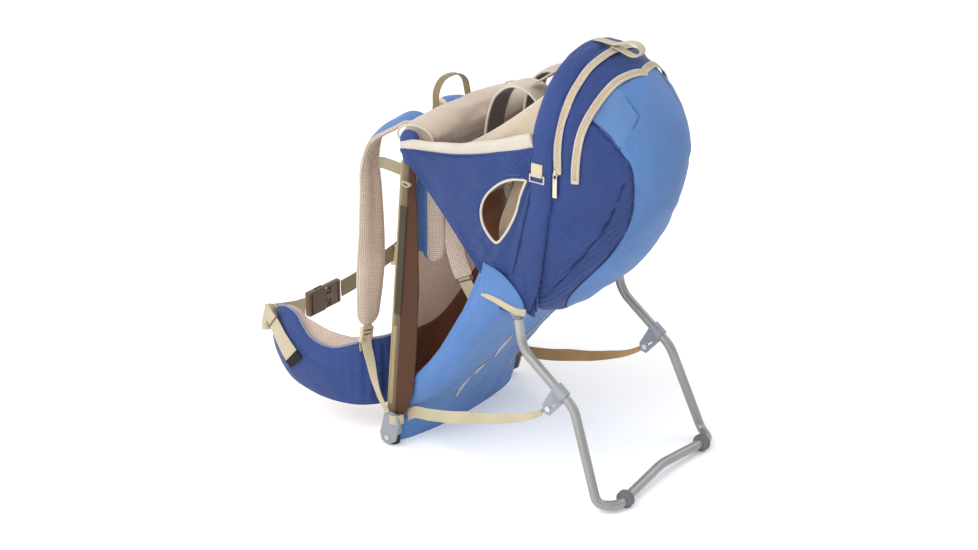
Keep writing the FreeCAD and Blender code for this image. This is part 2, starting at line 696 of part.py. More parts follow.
os.makedirs("parts", exist_ok=True)
for part_name, part_shape in pieces().items():
    part_shape.translate(V(-ORIGIN_X, 0, 0))
    part_shape.exportStep(f"parts/{part_name}.step")
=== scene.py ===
"""Looks of the framed child carrier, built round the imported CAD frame.

Shape points are in millimetres, measured from the foot of the front posts as in part.py;
place() turns them into the frame's metres.  y is negative on the wearer's left.
"""
import bpy
import bmesh
import math
import numpy as np
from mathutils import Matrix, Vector


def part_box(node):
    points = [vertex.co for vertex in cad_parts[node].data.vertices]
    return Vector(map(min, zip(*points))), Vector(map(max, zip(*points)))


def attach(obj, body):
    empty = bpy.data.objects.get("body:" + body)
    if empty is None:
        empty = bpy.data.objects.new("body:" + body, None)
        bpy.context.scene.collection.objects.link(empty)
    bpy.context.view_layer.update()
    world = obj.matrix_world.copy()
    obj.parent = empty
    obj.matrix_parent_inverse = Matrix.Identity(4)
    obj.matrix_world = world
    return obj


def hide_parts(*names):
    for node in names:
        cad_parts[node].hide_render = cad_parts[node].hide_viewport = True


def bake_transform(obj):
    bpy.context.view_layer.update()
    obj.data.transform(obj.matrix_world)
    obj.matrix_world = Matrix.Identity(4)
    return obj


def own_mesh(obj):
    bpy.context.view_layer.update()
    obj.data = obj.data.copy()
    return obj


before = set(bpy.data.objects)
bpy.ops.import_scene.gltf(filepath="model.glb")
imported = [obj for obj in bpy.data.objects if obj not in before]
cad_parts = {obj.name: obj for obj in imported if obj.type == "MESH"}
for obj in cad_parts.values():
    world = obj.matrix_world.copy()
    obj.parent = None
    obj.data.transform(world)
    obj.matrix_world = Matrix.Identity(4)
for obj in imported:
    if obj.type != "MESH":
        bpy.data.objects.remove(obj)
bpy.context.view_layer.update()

FOOT_LOW, FOOT_HIGH = (np.array(corner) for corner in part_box("rubber_foot_left"))
FOOT_OFFSET = 0.0008  # metres from the post's foot point back to the middle of its rubber foot
ORIGIN = np.array([(FOOT_LOW[0] + FOOT_HIGH[0]) / 2 - FOOT_OFFSET, 0.0, 0.0])
LEFT, RIGHT = -1, 1
SIDES = {"left": LEFT, "right": RIGHT}
UP = np.array([0, 0, 1.0])
POST_LEAN = 0.089  # millimetres the posts lean back for each millimetre up


def each_side(build):
    """Build the left piece, then the right one."""
    for word, side in SIDES.items():
        build(word, side)


# ---- small geometry helpers --------------------------------------------------------------------
def place(points):
    """Millimetres from the post foot, turned into the frame's metres."""
    return np.asarray(points, float) / 1000 + ORIGIN


def mirror(points, side):
    """Points of a left-hand piece (y below 0), or their mirror image on the right."""
    flipped = np.array(points, float)
    if side == RIGHT:
        flipped[..., 1] *= -1
    return flipped


def smooth(points, count):
    """Rows spaced evenly by length along a smooth line through the given rows."""
    rows = np.asarray(points, float)
    gaps = np.linalg.norm(np.diff(rows[:, :3], axis=0), axis=1)
    at = np.concatenate([[0], np.cumsum(gaps)])
    slope = np.gradient(rows, at, axis=0)
    s = np.linspace(0, at[-1], count)
    k = np.clip(np.searchsorted(at, s, side="right") - 1, 0, len(at) - 2)
    h = (at[k + 1] - at[k])[:, None]
    u = (s - at[k])[:, None] / h
    return ((2 * u**3 - 3 * u**2 + 1) * rows[k] + (u**3 - 2 * u**2 + u) * h * slope[k]
            + (3 * u**2 - 2 * u**3) * rows[k + 1] + (u**3 - u**2) * h * slope[k + 1])


def between(a, b, count):
    """Points from a towards b, without b itself."""
    return a + (b - a) * np.linspace(0, 1, count, endpoint=False)[:, None]


def side_line(points, side, count):
    """A smooth line through points of the left piece, on its own side."""
    return smooth(mirror(points, side), count)


def combine(*parts):
    """Coordinates given one by one, as rows of points."""
    return np.stack(np.broadcast_arrays(*parts), axis=-1)


def unit(vectors):
    vectors = np.asarray(vectors, float)
    return vectors / np.maximum(np.linalg.norm(vectors, axis=-1, keepdims=True), 1e-9)


def tangents(line):
    return unit(np.gradient(line, axis=0))


def lengths(line):
    return np.concatenate([[0], np.cumsum(np.linalg.norm(np.diff(line, axis=0), axis=1))])


def turns(count):
    """Even angles once round a circle."""
    return np.linspace(0, 2 * np.pi, count, endpoint=False)


def ease(value):
    """0 below 0, 1 above 1, and a smooth rise between."""
    value = np.clip(value, 0, 1)
    return value * value * (3 - 2 * value)


def ripple(a, b, size, seed):
    """Soft random folds between -1 and 1 over coordinates in millimetres."""
    total = 0
    for k in range(5):
        turn = seed * 2.1 + k * 1.9
        total = total + np.sin((a * math.cos(turn) + b * math.sin(turn)) * (1 + 0.35 * k) * 2 * math.pi
                               / size + seed * 1.3 + k * 2.4) / (1 + 0.5 * k)
    return total / 2.4


def make(name, verts, faces, materials, body="carrier", slot=None, uv=None, face_mats=None):
    """A smooth-shaded closed piece from points in millimetres, riding on its body.

    Its slot, that of its first material unless another is given, is looked up but not kept.
    """
    mesh = bpy.data.meshes.new(name)
    mesh.from_pydata(place(verts).tolist(), [], [list(map(int, face)) for face in faces])
    for material in materials:
        mesh.materials.append(material)
    if face_mats is not None:
        mesh.polygons.foreach_set("material_index", np.asarray(face_mats, np.int32))
    if uv is not None:
        layer = mesh.uv_layers.new(name="UVMap")
        loops = np.zeros(len(mesh.loops), np.int32)
        mesh.loops.foreach_get("vertex_index", loops)
        layer.data.foreach_set("uv", np.asarray(uv, float)[loops].ravel())
    mesh.polygons.foreach_set("use_smooth", np.ones(len(mesh.polygons), bool))
    solid = bmesh.new()
    solid.from_mesh(mesh)
    bmesh.ops.recalc_face_normals(solid, faces=solid.faces)
    solid.to_mesh(mesh)
    solid.free()
    mesh.update()
    piece = bpy.data.objects.new(name, mesh)
    bpy.context.scene.collection.objects.link(piece)
    if body:
        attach(piece, body)
    slot or SLOT_OF[materials[0].name]
    return piece


def grid_normals(rows):
    return unit(np.cross(np.gradient(rows, axis=1), np.gradient(rows, axis=0)))


def grid_uv(rows):
    """Texture coordinates in metres along both directions of a grid."""
    along = np.cumsum(np.linalg.norm(np.diff(rows, axis=0, prepend=rows[:1]), axis=2), axis=0)
    across = np.cumsum(np.linalg.norm(np.diff(rows, axis=1, prepend=rows[:, :1]), axis=2), axis=1)
    return combine(across, along) / 1000


def shell(name, outer, inner, uv, materials, wrap=False, **info):
    """A closed piece between two grids of points; its inside takes the last material.

    wrap joins the last column to the first.
    """
    count, columns = outer.shape[:2]
    index = np.arange(count * columns).reshape(count, columns)
    faces, mats = [], []
    for i in range(count - 1):
        for j in range(columns if wrap else columns - 1):
            k = (j + 1) % columns
            quad = (index[i, j], index[i, k], index[i + 1, k], index[i + 1, j])
            faces += [quad, tuple(value + count * columns for value in reversed(quad))]
            mats += [0, len(materials) - 1]
    rims = [(index[0], 1), (index[-1], -1)]
    if not wrap:
        rims += [(index[:, 0], -1), (index[:, -1], 1)]
    for rim, turn in rims:
        ring = list(rim) + ([rim[0]] if wrap else [])
        for a, b in zip(ring, ring[1:]):
            faces.append((a, b, b + count * columns, a + count * columns)[::turn])
            mats.append(0)
    verts = np.concatenate([outer.reshape(-1, 3), inner.reshape(-1, 3)])
    return make(name, verts, faces, materials, uv=np.concatenate([uv.reshape(-1, 2)] * 2), face_mats=mats,
                **info)


def cloth(name, rows, thickness, materials, held, rests_on, side=LEFT, flat=None, wrap=False, **info):
    """A panel of cloth: a grid of points of the left piece given a thickness.

    Its flat size, where that isn't given, is measured on the grid but not used.
    """
    rows = mirror(rows, side)
    normal = grid_normals(rows)
    if wrap:
        normal = unit(np.cross(np.roll(rows, -1, 1) - np.roll(rows, 1, 1), np.gradient(rows, axis=0)))
    half = normal * (thickness / 2)
    piece = shell(name, rows + half, rows - half, grid_uv(rows), materials, wrap, **info)
    grid = rows / 1000
    along, across = np.diff(grid, axis=0), np.diff(grid, axis=1)
    if flat is None:
        flat = (np.linalg.norm(across, axis=2).sum(1).max(), np.linalg.norm(along, axis=2).sum(0).max())
    return piece


def tube_faces(count, ring, loop=False):
    """Faces joining equal rings of points, closed by two end faces unless the rings form a loop."""
    index = np.arange(count * ring).reshape(count, ring)
    steps = [(i, (i + 1) % count) for i in range(count if loop else count - 1)]
    faces = [(index[i, j], index[i, (j + 1) % ring], index[n, (j + 1) % ring], index[n, j])
             for i, n in steps for j in range(ring)]
    return faces if loop else faces + [tuple(index[0])[::-1], tuple(index[-1])]


def ring_cage(rings):
    """Points and faces of a closed cage made of equal rings of points."""
    rings = np.asarray(rings, float)
    return rings.reshape(-1, 3), tube_faces(*rings.shape[:2])


def sweep(name, line, section, across, materials, section_mats=None, loop=False, **info):
    """A section of (across, outward) points carried along a line, closed at both ends or looped."""
    line = np.asarray(line, float)
    count = len(line)
    ahead = unit(np.roll(line, -1, 0) - np.roll(line, 1, 0)) if loop else tangents(line)
    across = np.broadcast_to(np.asarray(across, float), line.shape)
    wide = unit(across - ahead * np.sum(across * ahead, axis=1, keepdims=True))
    out = np.cross(ahead, wide)
    section = np.broadcast_to(np.asarray(section, float), (count,) + np.shape(section)[-2:])
    ring = section.shape[1]
    verts = (line[:, None] + wide[:, None] * section[..., :1] + out[:, None] * section[..., 1:])
    steps = np.linalg.norm(np.diff(section, axis=1, append=section[:, :1]), axis=2)
    around = np.cumsum(steps, axis=1) - steps
    uv = combine(around, lengths(line)[:, None]) / 1000
    faces = tube_faces(count, ring, loop)
    mats = list(section_mats or [0] * ring) * (len(faces) // ring)
    mats += [0] * (len(faces) - len(mats))
    return make(name, verts.reshape(-1, 3), faces, materials, uv=uv.reshape(-1, 2), face_mats=mats,
                **info)


def circle(radius, count=8):
    turn = turns(count)
    return combine(np.cos(turn), np.sin(turn)) * radius


def any_across(line):
    """A direction that is nowhere parallel to the line, for round sections."""
    ahead = np.abs(tangents(line)).mean(axis=0)
    return np.eye(3)[int(np.argmin(ahead))]


def piping(name, line, radius, material, loop=False, **info):
    return sweep(name, line, circle(radius), any_across(line), [material], loop=loop, **info)


def strap_section(width, thickness):
    """A woven strap's flat section with rounded selvedges."""
    w, t = width / 2, thickness / 2
    top = [(w, 0), (w - 0.35 * t, 0.75 * t), (w - 1.3, t), (w - 2.4, 0.82 * t), (0.5 * w, t), (0, t),
           (-0.5 * w, t), (-w + 2.4, 0.82 * t), (-w + 1.3, t), (-w + 0.35 * t, 0.75 * t)]
    return np.array(top + [(-a, -b) for a, b in top])


def webbing(name, line, width, thickness, across, material, **info):
    return sweep(name, line, strap_section(width, thickness), across, [material], **info)


def pad_section(width, thickness, edge=3.0, count=15, power=3.0):
    """A crowned pad: thick in the middle, thin at its sewn edges; first the outer face, then the inner."""
    a = np.sin(np.linspace(-1, 1, count) * np.pi / 2)
    crown = edge + (thickness - edge) * (1 - np.abs(a) ** power)
    outer = combine(a * width / 2, crown / 2)
    inner = combine(a[::-1] * width / 2, -crown[::-1] / 2)
    return np.concatenate([outer, inner])


STITCH_LENGTH, STITCH_GAP, THREAD_RADIUS = 3.0, 2.2, 0.45


def stitches(name, line, outward, material, **info):
    """A run of small raised thread stitches on top of a line."""
    length, gap, radius = STITCH_LENGTH, STITCH_GAP, THREAD_RADIUS
    line = np.asarray(line, float)
    outward = np.broadcast_to(np.asarray(outward, float), line.shape)
    at = lengths(line)
    verts, faces = [], []
    for start in np.arange(gap, at[-1] - length, length + gap):
        ends = [np.array([np.interp(s, at, line[:, k]) for k in range(3)])
                for s in (start, start + length / 2, start + length)]
        up = unit(np.array([np.interp(start, at, outward[:, k]) for k in range(3)]))
        side = np.cross(unit(ends[2] - ends[0]), up)
        base = len(verts)
        for point, lift in zip(ends, (0.0, radius, 0.0)):
            for da, db in ((-1, 0), (0, 1), (1, 0), (0, -1)):
                verts.append(point + side * da * radius + up * (db * radius * 0.8 + lift * 0.4))
        for i in (0, 4):
            for j in range(4):
                k = (j + 1) % 4
                faces.append((base + i + j, base + i + k, base + i + 4 + k, base + i + 4 + j))
        faces += [(base + 3, base + 2, base + 1, base), (base + 8, base + 9, base + 10, base + 11)]
    return make(name, verts, faces, [material], **info)


PRESSURE, LAST_FRAME = 4.0, 20


def inflate(piece, voxel, cap, swell):
    """Padded fabric: remesh, puff with cloth pressure, cap the movement, keep the result.

    voxel and cap are in metres; swell moves points in millimetres after the puffing.
    """
    scene = bpy.context.scene
    bpy.ops.object.select_all(action="DESELECT")
    bpy.context.view_layer.objects.active = piece
    piece.select_set(True)
    remesh = piece.modifiers.new("voxels", "REMESH")
    remesh.mode = "VOXEL"
    remesh.voxel_size = voxel
    remesh.use_smooth_shade = True
    bpy.ops.object.modifier_apply(modifier=remesh.name)
    start = np.zeros(len(piece.data.vertices) * 3)
    piece.data.vertices.foreach_get("co", start)
    start = start.reshape(-1, 3)
    puff = piece.modifiers.new("puff", "CLOTH")
    puff.settings.use_pressure = True
    puff.settings.uniform_pressure_force = PRESSURE
    puff.settings.quality = 4
    puff.settings.tension_stiffness = 12
    puff.settings.compression_stiffness = 12
    puff.settings.effector_weights.gravity = 0
    for number in range(1, LAST_FRAME + 1):
        scene.frame_set(number)
    bpy.ops.object.modifier_apply(modifier=puff.name)
    scene.frame_set(1)
    end = np.zeros(len(start) * 3)
    piece.data.vertices.foreach_get("co", end)
    move = end.reshape(-1, 3) - start
    size = np.linalg.norm(move, axis=1, keepdims=True)
    move *= np.minimum(1, cap / np.maximum(size, 1e-9))
    start = start + move
    if swell is not None:
        start = start + swell((start - ORIGIN) * 1000) / 1000
    piece.data.vertices.foreach_set("co", start.ravel())
    soft = piece.modifiers.new("soft", "SUBSURF")
    soft.levels = soft.render_levels = 1
    bpy.ops.object.modifier_apply(modifier=soft.name)
    piece.data.polygons.foreach_set("use_smooth", np.ones(len(piece.data.polygons), bool))


# ---- materials ---------------------------------------------------------------------------------
WAVE_PERIOD = 0.314159  # metres between the stripes of Blender's wave texture at scale 1


class Nodes:
    """A principled material with a few shorthand node makers."""

    def __init__(self, name, roughness, metallic=0.0, sheen=0.0, specular=0.5):
        self.material = bpy.data.materials.new(name)
        self.material.use_nodes = True
        self.tree = self.material.node_tree
        self.shader = self.tree.nodes["Principled BSDF"]
        self.fill(self.shader, {"Roughness": roughness, "Metallic": metallic, "Sheen Weight": sheen,
                                "Sheen Roughness": 0.4, "Specular IOR Level": specular})
        self.coords = self.tree.nodes.new("ShaderNodeTexCoord")

    def fill(self, node, values):
        """Set a node's inputs: a number or colour is stored, another node's output is linked."""
        for key, value in values.items():
            socket = node.inputs[key]
            if isinstance(value, (int, float)):
                socket.default_value = value
            elif isinstance(value, tuple):
                socket.default_value = (*value, 1)
            else:
                self.tree.links.new(value, socket)
        return node

    def node(self, kind, values):
        return self.fill(self.tree.nodes.new("ShaderNode" + kind), values)

    def math(self, kind, a, b):
        node = self.node("Math", {0: a, 1: b})
        node.operation = kind
        return node.outputs[0]

    def noise(self, scale, detail=3.0, roughness=0.55):
        node = self.node("TexNoise", {"Scale": scale, "Detail": detail, "Roughness": roughness,
                                      "Vector": self.coords.outputs["Object"]})
        return node.outputs["Fac"]

    def bands(self, period, direction, vector="UV"):
        """Stripes of the given period in metres, across X, Y or the diagonal."""
        node = self.node("TexWave", {"Scale": WAVE_PERIOD / period, "Vector": self.coords.outputs[vector]})
        node.bands_direction = direction
        return node.outputs["Fac"]

    def cells(self, size, vector="UV"):
        """Distance from the middle of the nearest cell of a loose honeycomb."""
        node = self.node("TexVoronoi", {"Scale": 1 / size, "Randomness": 0.15,
                                        "Vector": self.coords.outputs[vector]})
        return node.outputs["Distance"]

    def range(self, value, low, high, to_low=0.0, to_high=1.0):
        node = self.node("MapRange", {"From Min": low, "From Max": high, "To Min": to_low,
                                      "To Max": to_high, "Value": value})
        return node.outputs[0]

    def mix(self, amount, a, b):
        """a where the amount is 0, b where it is 1."""
        node = self.tree.nodes.new("ShaderNodeMix")
        node.data_type = "RGBA"
        return self.fill(node, {0: amount, 6: a, 7: b}).outputs[2]

    def mottled(self, patch, colour, dark, light):
        """A colour that wanders between two shades of itself."""
        return self.mix(self.range(patch, 0.3, 0.7), shade(colour, dark), shade(colour, light))

    def tinted(self, base, amount, share, colour):
        """The base with a share of another colour where the amount is high."""
        return self.mix(self.math("MULTIPLY", amount, share), base, colour)

    def worn(self, base, low, high, share, colour):
        """The base rubbed lighter along its edges, from the low sharpness on and fully at the high."""
        sharpness = self.node("NewGeometry", {}).outputs["Pointiness"]
        return self.tinted(base, self.range(sharpness, low, high), share, colour)

    def finish(self, colour, height, depth, roughness=None):
        """Link up the shader; height is a bump of the given depth in metres."""
        bump = self.node("Bump", {"Strength": 0.8, "Distance": depth, "Height": height})
        self.fill(self.shader, {"Base Color": colour, "Normal": bump.outputs["Normal"]})
        if roughness is not None:
            self.fill(self.shader, {"Roughness": roughness})
        return self.material


def rgb(red, green, blue):
    """A display colour of 0 to 255 as linear light."""
    return tuple(value / 255 / 12.92 if value <= 10 else ((value / 255 + 0.055) / 1.055) ** 2.4
                 for value in (red, green, blue))


def shade(colour, factor):
    return tuple(min(1.0, value * factor) for value in colour)


def pack_cloth(name, colour, square=0.0052, sheen=0.12):
    """Coated plain-weave pack cloth with a ripstop square, mottled by handling."""
    m = Nodes(name, 0.62, sheen=sheen, specular=0.35)
    weave = m.math("MULTIPLY", m.bands(0.0011, "X"), m.bands(0.0011, "Y"))
    grid = m.math("MAXIMUM", m.math("POWER", m.bands(square, "X"), 14.0),
                  m.math("POWER", m.bands(square, "Y"), 14.0))
    patch = m.noise(9.0, 4.0)
    base = m.mottled(patch, colour, 0.86, 1.1)
    base = m.tinted(base, grid, 0.22, shade(colour, 1.45))
    base = m.tinted(base, m.range(m.noise(420.0, 2.0), 0.35, 0.7), 0.16, shade(colour, 0.7))
    base = m.worn(base, 0.53, 0.62, 0.35, shade(colour, 1.7))
    height = m.math("ADD", m.math("MULTIPLY", weave, 0.35), m.math("MULTIPLY", grid, 0.6))
    height = m.math("ADD", height, m.math("MULTIPLY", m.noise(60.0, 4.0), 1.6))
    return m.finish(base, height, 0.0006, m.range(patch, 0.2, 0.8, 0.56, 0.72))


def brushed(name, colour, sheen=0.5, thread=0.0009, vector="UV"):
    """Brushed lining, trim or knitted cloth."""
    m = Nodes(name, 0.86, sheen=sheen, specular=0.2)
    weave = m.math("MULTIPLY", m.bands(thread, "X", vector), m.bands(thread, "Y", vector))
    base = m.mottled(m.noise(14.0, 5.0), colour, 0.9, 1.07)
    base = m.tinted(base, m.noise(900.0, 2.0), 0.25, shade(colour, 0.75))
    base = m.worn(base, 0.53, 0.62, 0.3, shade(colour, 1.2))
    height = m.math("ADD", m.math("MULTIPLY", weave, 0.5), m.math("MULTIPLY", m.noise(90.0, 5.0), 1.2))
    return m.finish(base, height, 0.0004)


def air_mesh(name, colour, hole, size=0.0036, vector="UV"):
    """Spacer mesh: a honeycomb of open holes in a soft knit."""
    m = Nodes(name, 0.85, sheen=0.35, specular=0.25)
    open_hole = m.range(m.cells(size, vector), 0.22, 0.36, 1.0, 0.0)
    base = m.mottled(m.noise(12.0, 4.0), colour, 0.9, 1.1)
    base = m.tinted(base, m.noise(1100.0, 2.0), 0.3, shade(colour, 0.65))
    base = m.tinted(base, open_hole, 0.85, hole)
    base = m.worn(base, 0.54, 0.64, 0.3, shade(colour, 1.3))
    return m.finish(base, m.math("SUBTRACT", 1.0, open_hole), 0.0011)


def woven(name, colour, rib=0.0019):
    """Ribbed webbing with its valleys darkened as painted shade, and lighter, furred selvedges."""
    m = Nodes(name, 0.72, sheen=0.3, specular=0.3)
    twill = m.bands(rib * 0.9, "DIAGONAL")
    body = m.math("ADD", m.math("MULTIPLY", m.bands(rib, "Y"), 0.7), m.math("MULTIPLY", twill, 0.5))
    base = m.mottled(m.noise(20.0, 4.0), colour, 0.88, 1.08)
    # Painted shade: the rib valleys, low in the bump height, are darkened.
    base = m.mix(m.range(body, 0.1, 0.9, 0.42, 0.0), base, shade(colour, 0.55))
    base = m.worn(base, 0.53, 0.6, 0.4, shade(colour, 1.25))
    return m.finish(base, body, 0.0006)


def metal(name, colour, roughness, metallic=1.0, grain=0.0):
    """Satin anodised tube, casting or steel with handling marks."""
    m = Nodes(name, roughness, metallic=metallic)
    scratch = m.noise(240.0, 6.0, roughness=0.7)
    base = m.mottled(m.noise(18.0, 4.0), colour, 0.9, 1.06)
    base = m.mix(m.range(scratch, 0.62, 0.75, 0.0, 0.35), base, shade(colour, 1.35))
    base = m.worn(base, 0.52, 0.58, 0.5, shade(colour, 1.5))
    height = m.math("ADD", scratch, m.math("MULTIPLY", m.noise(900.0), grain))
    return m.finish(base, height, 0.00012, m.range(scratch, 0.3, 0.7, roughness - 0.06, roughness + 0.12))


def moulded(name, colour, roughness=0.45):
    """Moulded plastic or rubber: fine spark-eroded grain, rubbed bright at its edges."""
    m = Nodes(name, roughness, specular=0.45)
    grain = m.noise(1500.0, 2.0)
    patch = m.noise(30.0, 3.0)
    base = m.mottled(patch, colour, 0.88, 1.1)
    base = m.tinted(base, grain, 0.12, shade(colour, 1.8))
    base = m.worn(base, 0.52, 0.6, 0.55, shade(colour, 1.9))
    return m.finish(base, grain, 0.00018, m.range(patch, 0.3, 0.7, roughness - 0.05, roughness + 0.1))


dark_cloth = pack_cloth("dark_blue_cloth", rgb(37, 60, 117))
light_cloth = pack_cloth("light_blue_cloth", rgb(81, 120, 176), square=0.0061)
facet_cloth = pack_cloth("light_blue_facet", rgb(93, 131, 183), square=0.0033)
wing_cloth = pack_cloth("wing_blue_cloth", rgb(39, 62, 118))
brown_cloth = pack_cloth("brown_nylon", rgb(112, 66, 36), square=0.0044, sheen=0.15)
tail_cloth = pack_cloth("dark_brown_nylon", rgb(74, 43, 20), square=0.0044, sheen=0.1)
warm_cloth = pack_cloth("warm_brown_nylon", rgb(150, 84, 44), square=0.0044, sheen=0.15)
cream_cloth = brushed("cream_brushed", rgb(198, 189, 176))
taupe_cloth = brushed("taupe_brushed", rgb(190, 173, 156), vector="Object", thread=0.0013)
lining_cloth = brushed("lining_brushed", rgb(190, 175, 154))
shaded_lining = brushed("shaded_lining", rgb(150, 132, 108))
# Inner face of the side panels: the lining darkened to a brown-taupe, painted shade for the cockpit's dark
# inside.
inner_painted_shade_cloth = brushed("inner_lining_painted_shade", rgb(104, 80, 60))
cream_pipe = brushed("cream_piping", rgb(196, 188, 174), thread=0.0013)
pale_pipe = brushed("pale_piping", rgb(128, 132, 150), thread=0.0013)
taupe_pipe = brushed("taupe_piping", rgb(196, 180, 164), thread=0.0013)
dark_thread = brushed("dark_thread", rgb(34, 44, 84), sheen=0.1)
blue_thread = brushed("light_thread", rgb(66, 104, 164), sheen=0.1)
black_tag = brushed("black_tag", rgb(28, 28, 30), sheen=0.1)
child_mesh = air_mesh("child_side_mesh", rgb(236, 212, 194), rgb(172, 142, 124), size=0.0052)
back_mesh = air_mesh("back_mesh", rgb(206, 180, 162), rgb(132, 106, 92), size=0.0052)
brown_mesh = air_mesh("brown_mesh", rgb(116, 98, 84), rgb(52, 40, 32), size=0.0030)
sleeve_mesh = air_mesh("sleeve_mesh", rgb(112, 96, 74), rgb(64, 48, 34), size=0.0030)
strap_mesh = air_mesh("taupe_mesh", rgb(210, 192, 176), rgb(150, 130, 114), size=0.0040)
object_mesh = air_mesh("pad_mesh", rgb(206, 186, 172), rgb(142, 120, 106), size=0.0040, vector="Object")
wing_mesh = air_mesh("wing_mesh", rgb(206, 186, 174), rgb(150, 128, 116), size=0.0034)
cream_web = woven("cream_webbing", rgb(194, 182, 152))
olive_web = woven("olive_webbing", rgb(138, 124, 88))
# The far kickstand strap's cream webbing with painted shade: darkened and warmed as it looks in shadow with
# light through it.
far_strap_painted_shade_web = woven("cream_webbing_painted_shade", rgb(184, 144, 88))
zip_web = woven("zip_tape", rgb(206, 196, 180), rib=0.0013)
tan_bind = woven("tan_binding", rgb(172, 152, 108), rib=0.0012)
grey_web = woven("grey_ladder_web", rgb(62, 55, 40), rib=0.0046)
tube_metal = metal("anodised_tube", rgb(150, 150, 148), 0.38, metallic=0.6)
casting = metal("bracket_casting", rgb(132, 134, 140), 0.5, metallic=0.35, grain=0.5)
steel = metal("rivet_steel", rgb(190, 190, 190), 0.28)
zip_metal = metal("zip_metal", rgb(200, 192, 172), 0.32)
foot_rubber = moulded("foot_rubber", rgb(38, 38, 42), 0.75)
ring_rubber = moulded("ring_rubber", rgb(96, 98, 102), 0.7)
buckle_plastic = moulded("buckle_plastic", rgb(92, 76, 62))
ladder_plastic = moulded("ladder_plastic", rgb(186, 172, 142))
zip_coil = moulded("zip_coil", rgb(172, 146, 116), 0.5)

SLOTS = {
    "fabric_dark_blue": (dark_cloth, wing_cloth, dark_thread),
    "fabric_light_blue": (light_cloth, blue_thread),
    "fabric_cream": (cream_cloth, cream_pipe, pale_pipe),
    "fabric_brown": (brown_cloth, sleeve_mesh),
    "fabric_taupe": (taupe_cloth, lining_cloth, shaded_lining, strap_mesh, object_mesh, wing_mesh,
                     taupe_pipe),
    "mesh_brown": (brown_mesh, child_mesh),
    "webbing_cream": (cream_web, far_strap_painted_shade_web, zip_web),
    "webbing_olive": (olive_web, zip_coil, tan_bind, grey_web),
    "buckle_plastic": (buckle_plastic, black_tag),
}
SLOT_OF = {look.name: slot for slot, looks in SLOTS.items() for look in looks}

CAD_LOOKS = {
    "post": tube_metal, "seat_stay": tube_metal, "cross_tubes": tube_metal, "rear_hoop": tube_metal,
    "kickstand_tube": tube_metal, "foot_bracket": casting, "hinge_knuckle": casting, "strap_lug": casting,
    "kickstand_eyes": casting, "bracket_rivets": steel, "hinge_pins": steel, "lug_rivets": steel,
    "side_ring": steel, "rubber_foot": foot_rubber, "kickstand_rings": ring_rubber,
    "ladder_lock": ladder_plastic, "harness_buckle": buckle_plastic, "hip_buckle_socket": buckle_plastic,
    "hip_buckle_plug": buckle_plastic, "buckle_prong_upper": buckle_plastic,
    "buckle_prong_lower": buckle_plastic, "zip_slider_front": zip_metal, "zip_pull_front": zip_metal,
    "zip_slider_rear": zip_metal, "zip_pull_rear": zip_metal, "ring_tabs": cream_web,
}
for node_name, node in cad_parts.items():
    look = CAD_LOOKS.get(node_name) or CAD_LOOKS.get(node_name.rsplit("_", 1)[0])
    if look:
        for holder in node.material_slots:
            holder.material = look


# ---- storage pack behind the hoop --------------------------------------------------------------
# x, half width, lowest z, highest z, z of the widest line, squareness of the lower half
BAG_RINGS = [(314, 151, 299, 758, 600, 5.0), (335, 149, 302, 756, 598, 4.2), (360, 143, 326, 747, 594, 3.3),
             (388, 130, 368, 731, 590, 2.7), (412, 113, 413, 710, 588, 2.35), (434, 91, 457, 684, 587, 2.15),
             (452, 67, 495, 656, 586, 2.0), (464, 42, 531, 629, 586, 2.0), (470, 18, 562, 604, 585, 2.0),
             (472, 0.5, 584, 586, 585, 2.0)]
BAG_ROWS = smooth(BAG_RINGS, 300)
LEAN_BELOW = 573   # below this height the pack's front edge comes forward like the hoop,
PACK_LEAN = 0.153  # by this share of the drop
# seam lines as (degrees round the pack from its top, share of the way back)
ZIP_ONE = [(0, 0.085), (15.5, 0.074), (25, 0.064), (37.5, 0.056), (48.5, 0.05), (58, 0.047), (65, 0.044),
           (73, 0.044), (82, 0.047), (90, 0.052), (96, 0.056)]
ZIP_TWO = [(0, 0.335), (4, 0.318), (15, 0.284), (25, 0.255), (37, 0.23), (49.5, 0.205), (59, 0.184),
           (68.5, 0.169), (79, 0.164), (91, 0.160), (96, 0.160)]
PANEL_SEAM = [(57, 0.19), (60, 0.287), (65, 0.404), (74, 0.504), (85, 0.579), (101, 0.60), (118, 0.579),
              (130.5, 0.517), (136, 0.433), (139.5, 0.342), (141.5, 0.25), (144, 0.18), (150, 0.125),
              (163, 0.083), (172, 0.066), (180, 0.06)]
SIDE_CREASE = [(94, 0.585), (96, 0.533), (105.5, 0.475), (114.5, 0.40), (120.5, 0.275), (125.5, 0.171),
               (131, 0.067), (135, 0.0)]
FACET_SEAMS = [[(60, 0.287), (65, 0.404), (68.5, 0.483), (56, 0.515), (43.5, 0.529), (35, 0.529)],
               [(35, 0.529), (31, 0.40), (27.5, 0.255)]]


def bag_point(turn, back):
    """Surface point of the pack; turn is in degrees, negative on the left."""
    turn, back = np.broadcast_arrays(np.radians(np.asarray(turn, float)), np.asarray(back, float))
    at = np.clip(back, 0, 1) * (len(BAG_ROWS) - 1)
    low = np.minimum(at.astype(int), len(BAG_ROWS) - 2)
    part = (at - low)[..., None]
    x, half, bottom, top, middle, power = np.moveaxis(BAG_ROWS[low] * (1 - part) + BAG_ROWS[low + 1] * part,
                                                      -1, 0)
    cosine, sine = np.cos(turn), np.sin(turn)
    exponent = 2 / np.where(cosine > 0, 2.0, power)
    y = half * np.sign(sine) * np.abs(sine) ** exponent
    reach = np.where(cosine > 0, top - middle, middle - bottom)
    z = middle + reach * np.sign(cosine) * np.abs(cosine) ** exponent
    x = x - PACK_LEAN * np.maximum(LEAN_BELOW - z, 0) * (1 - ease(back / 0.5))
    return combine(x, y, z)


def bag_normal(turn, back):
    step = 0.4
    around = bag_point(np.asarray(turn) + step, back) - bag_point(np.asarray(turn) - step, back)
    along = bag_point(turn, np.asarray(back) + 0.004) - bag_point(turn, np.asarray(back) - 0.004)
    return unit(np.cross(along, around))


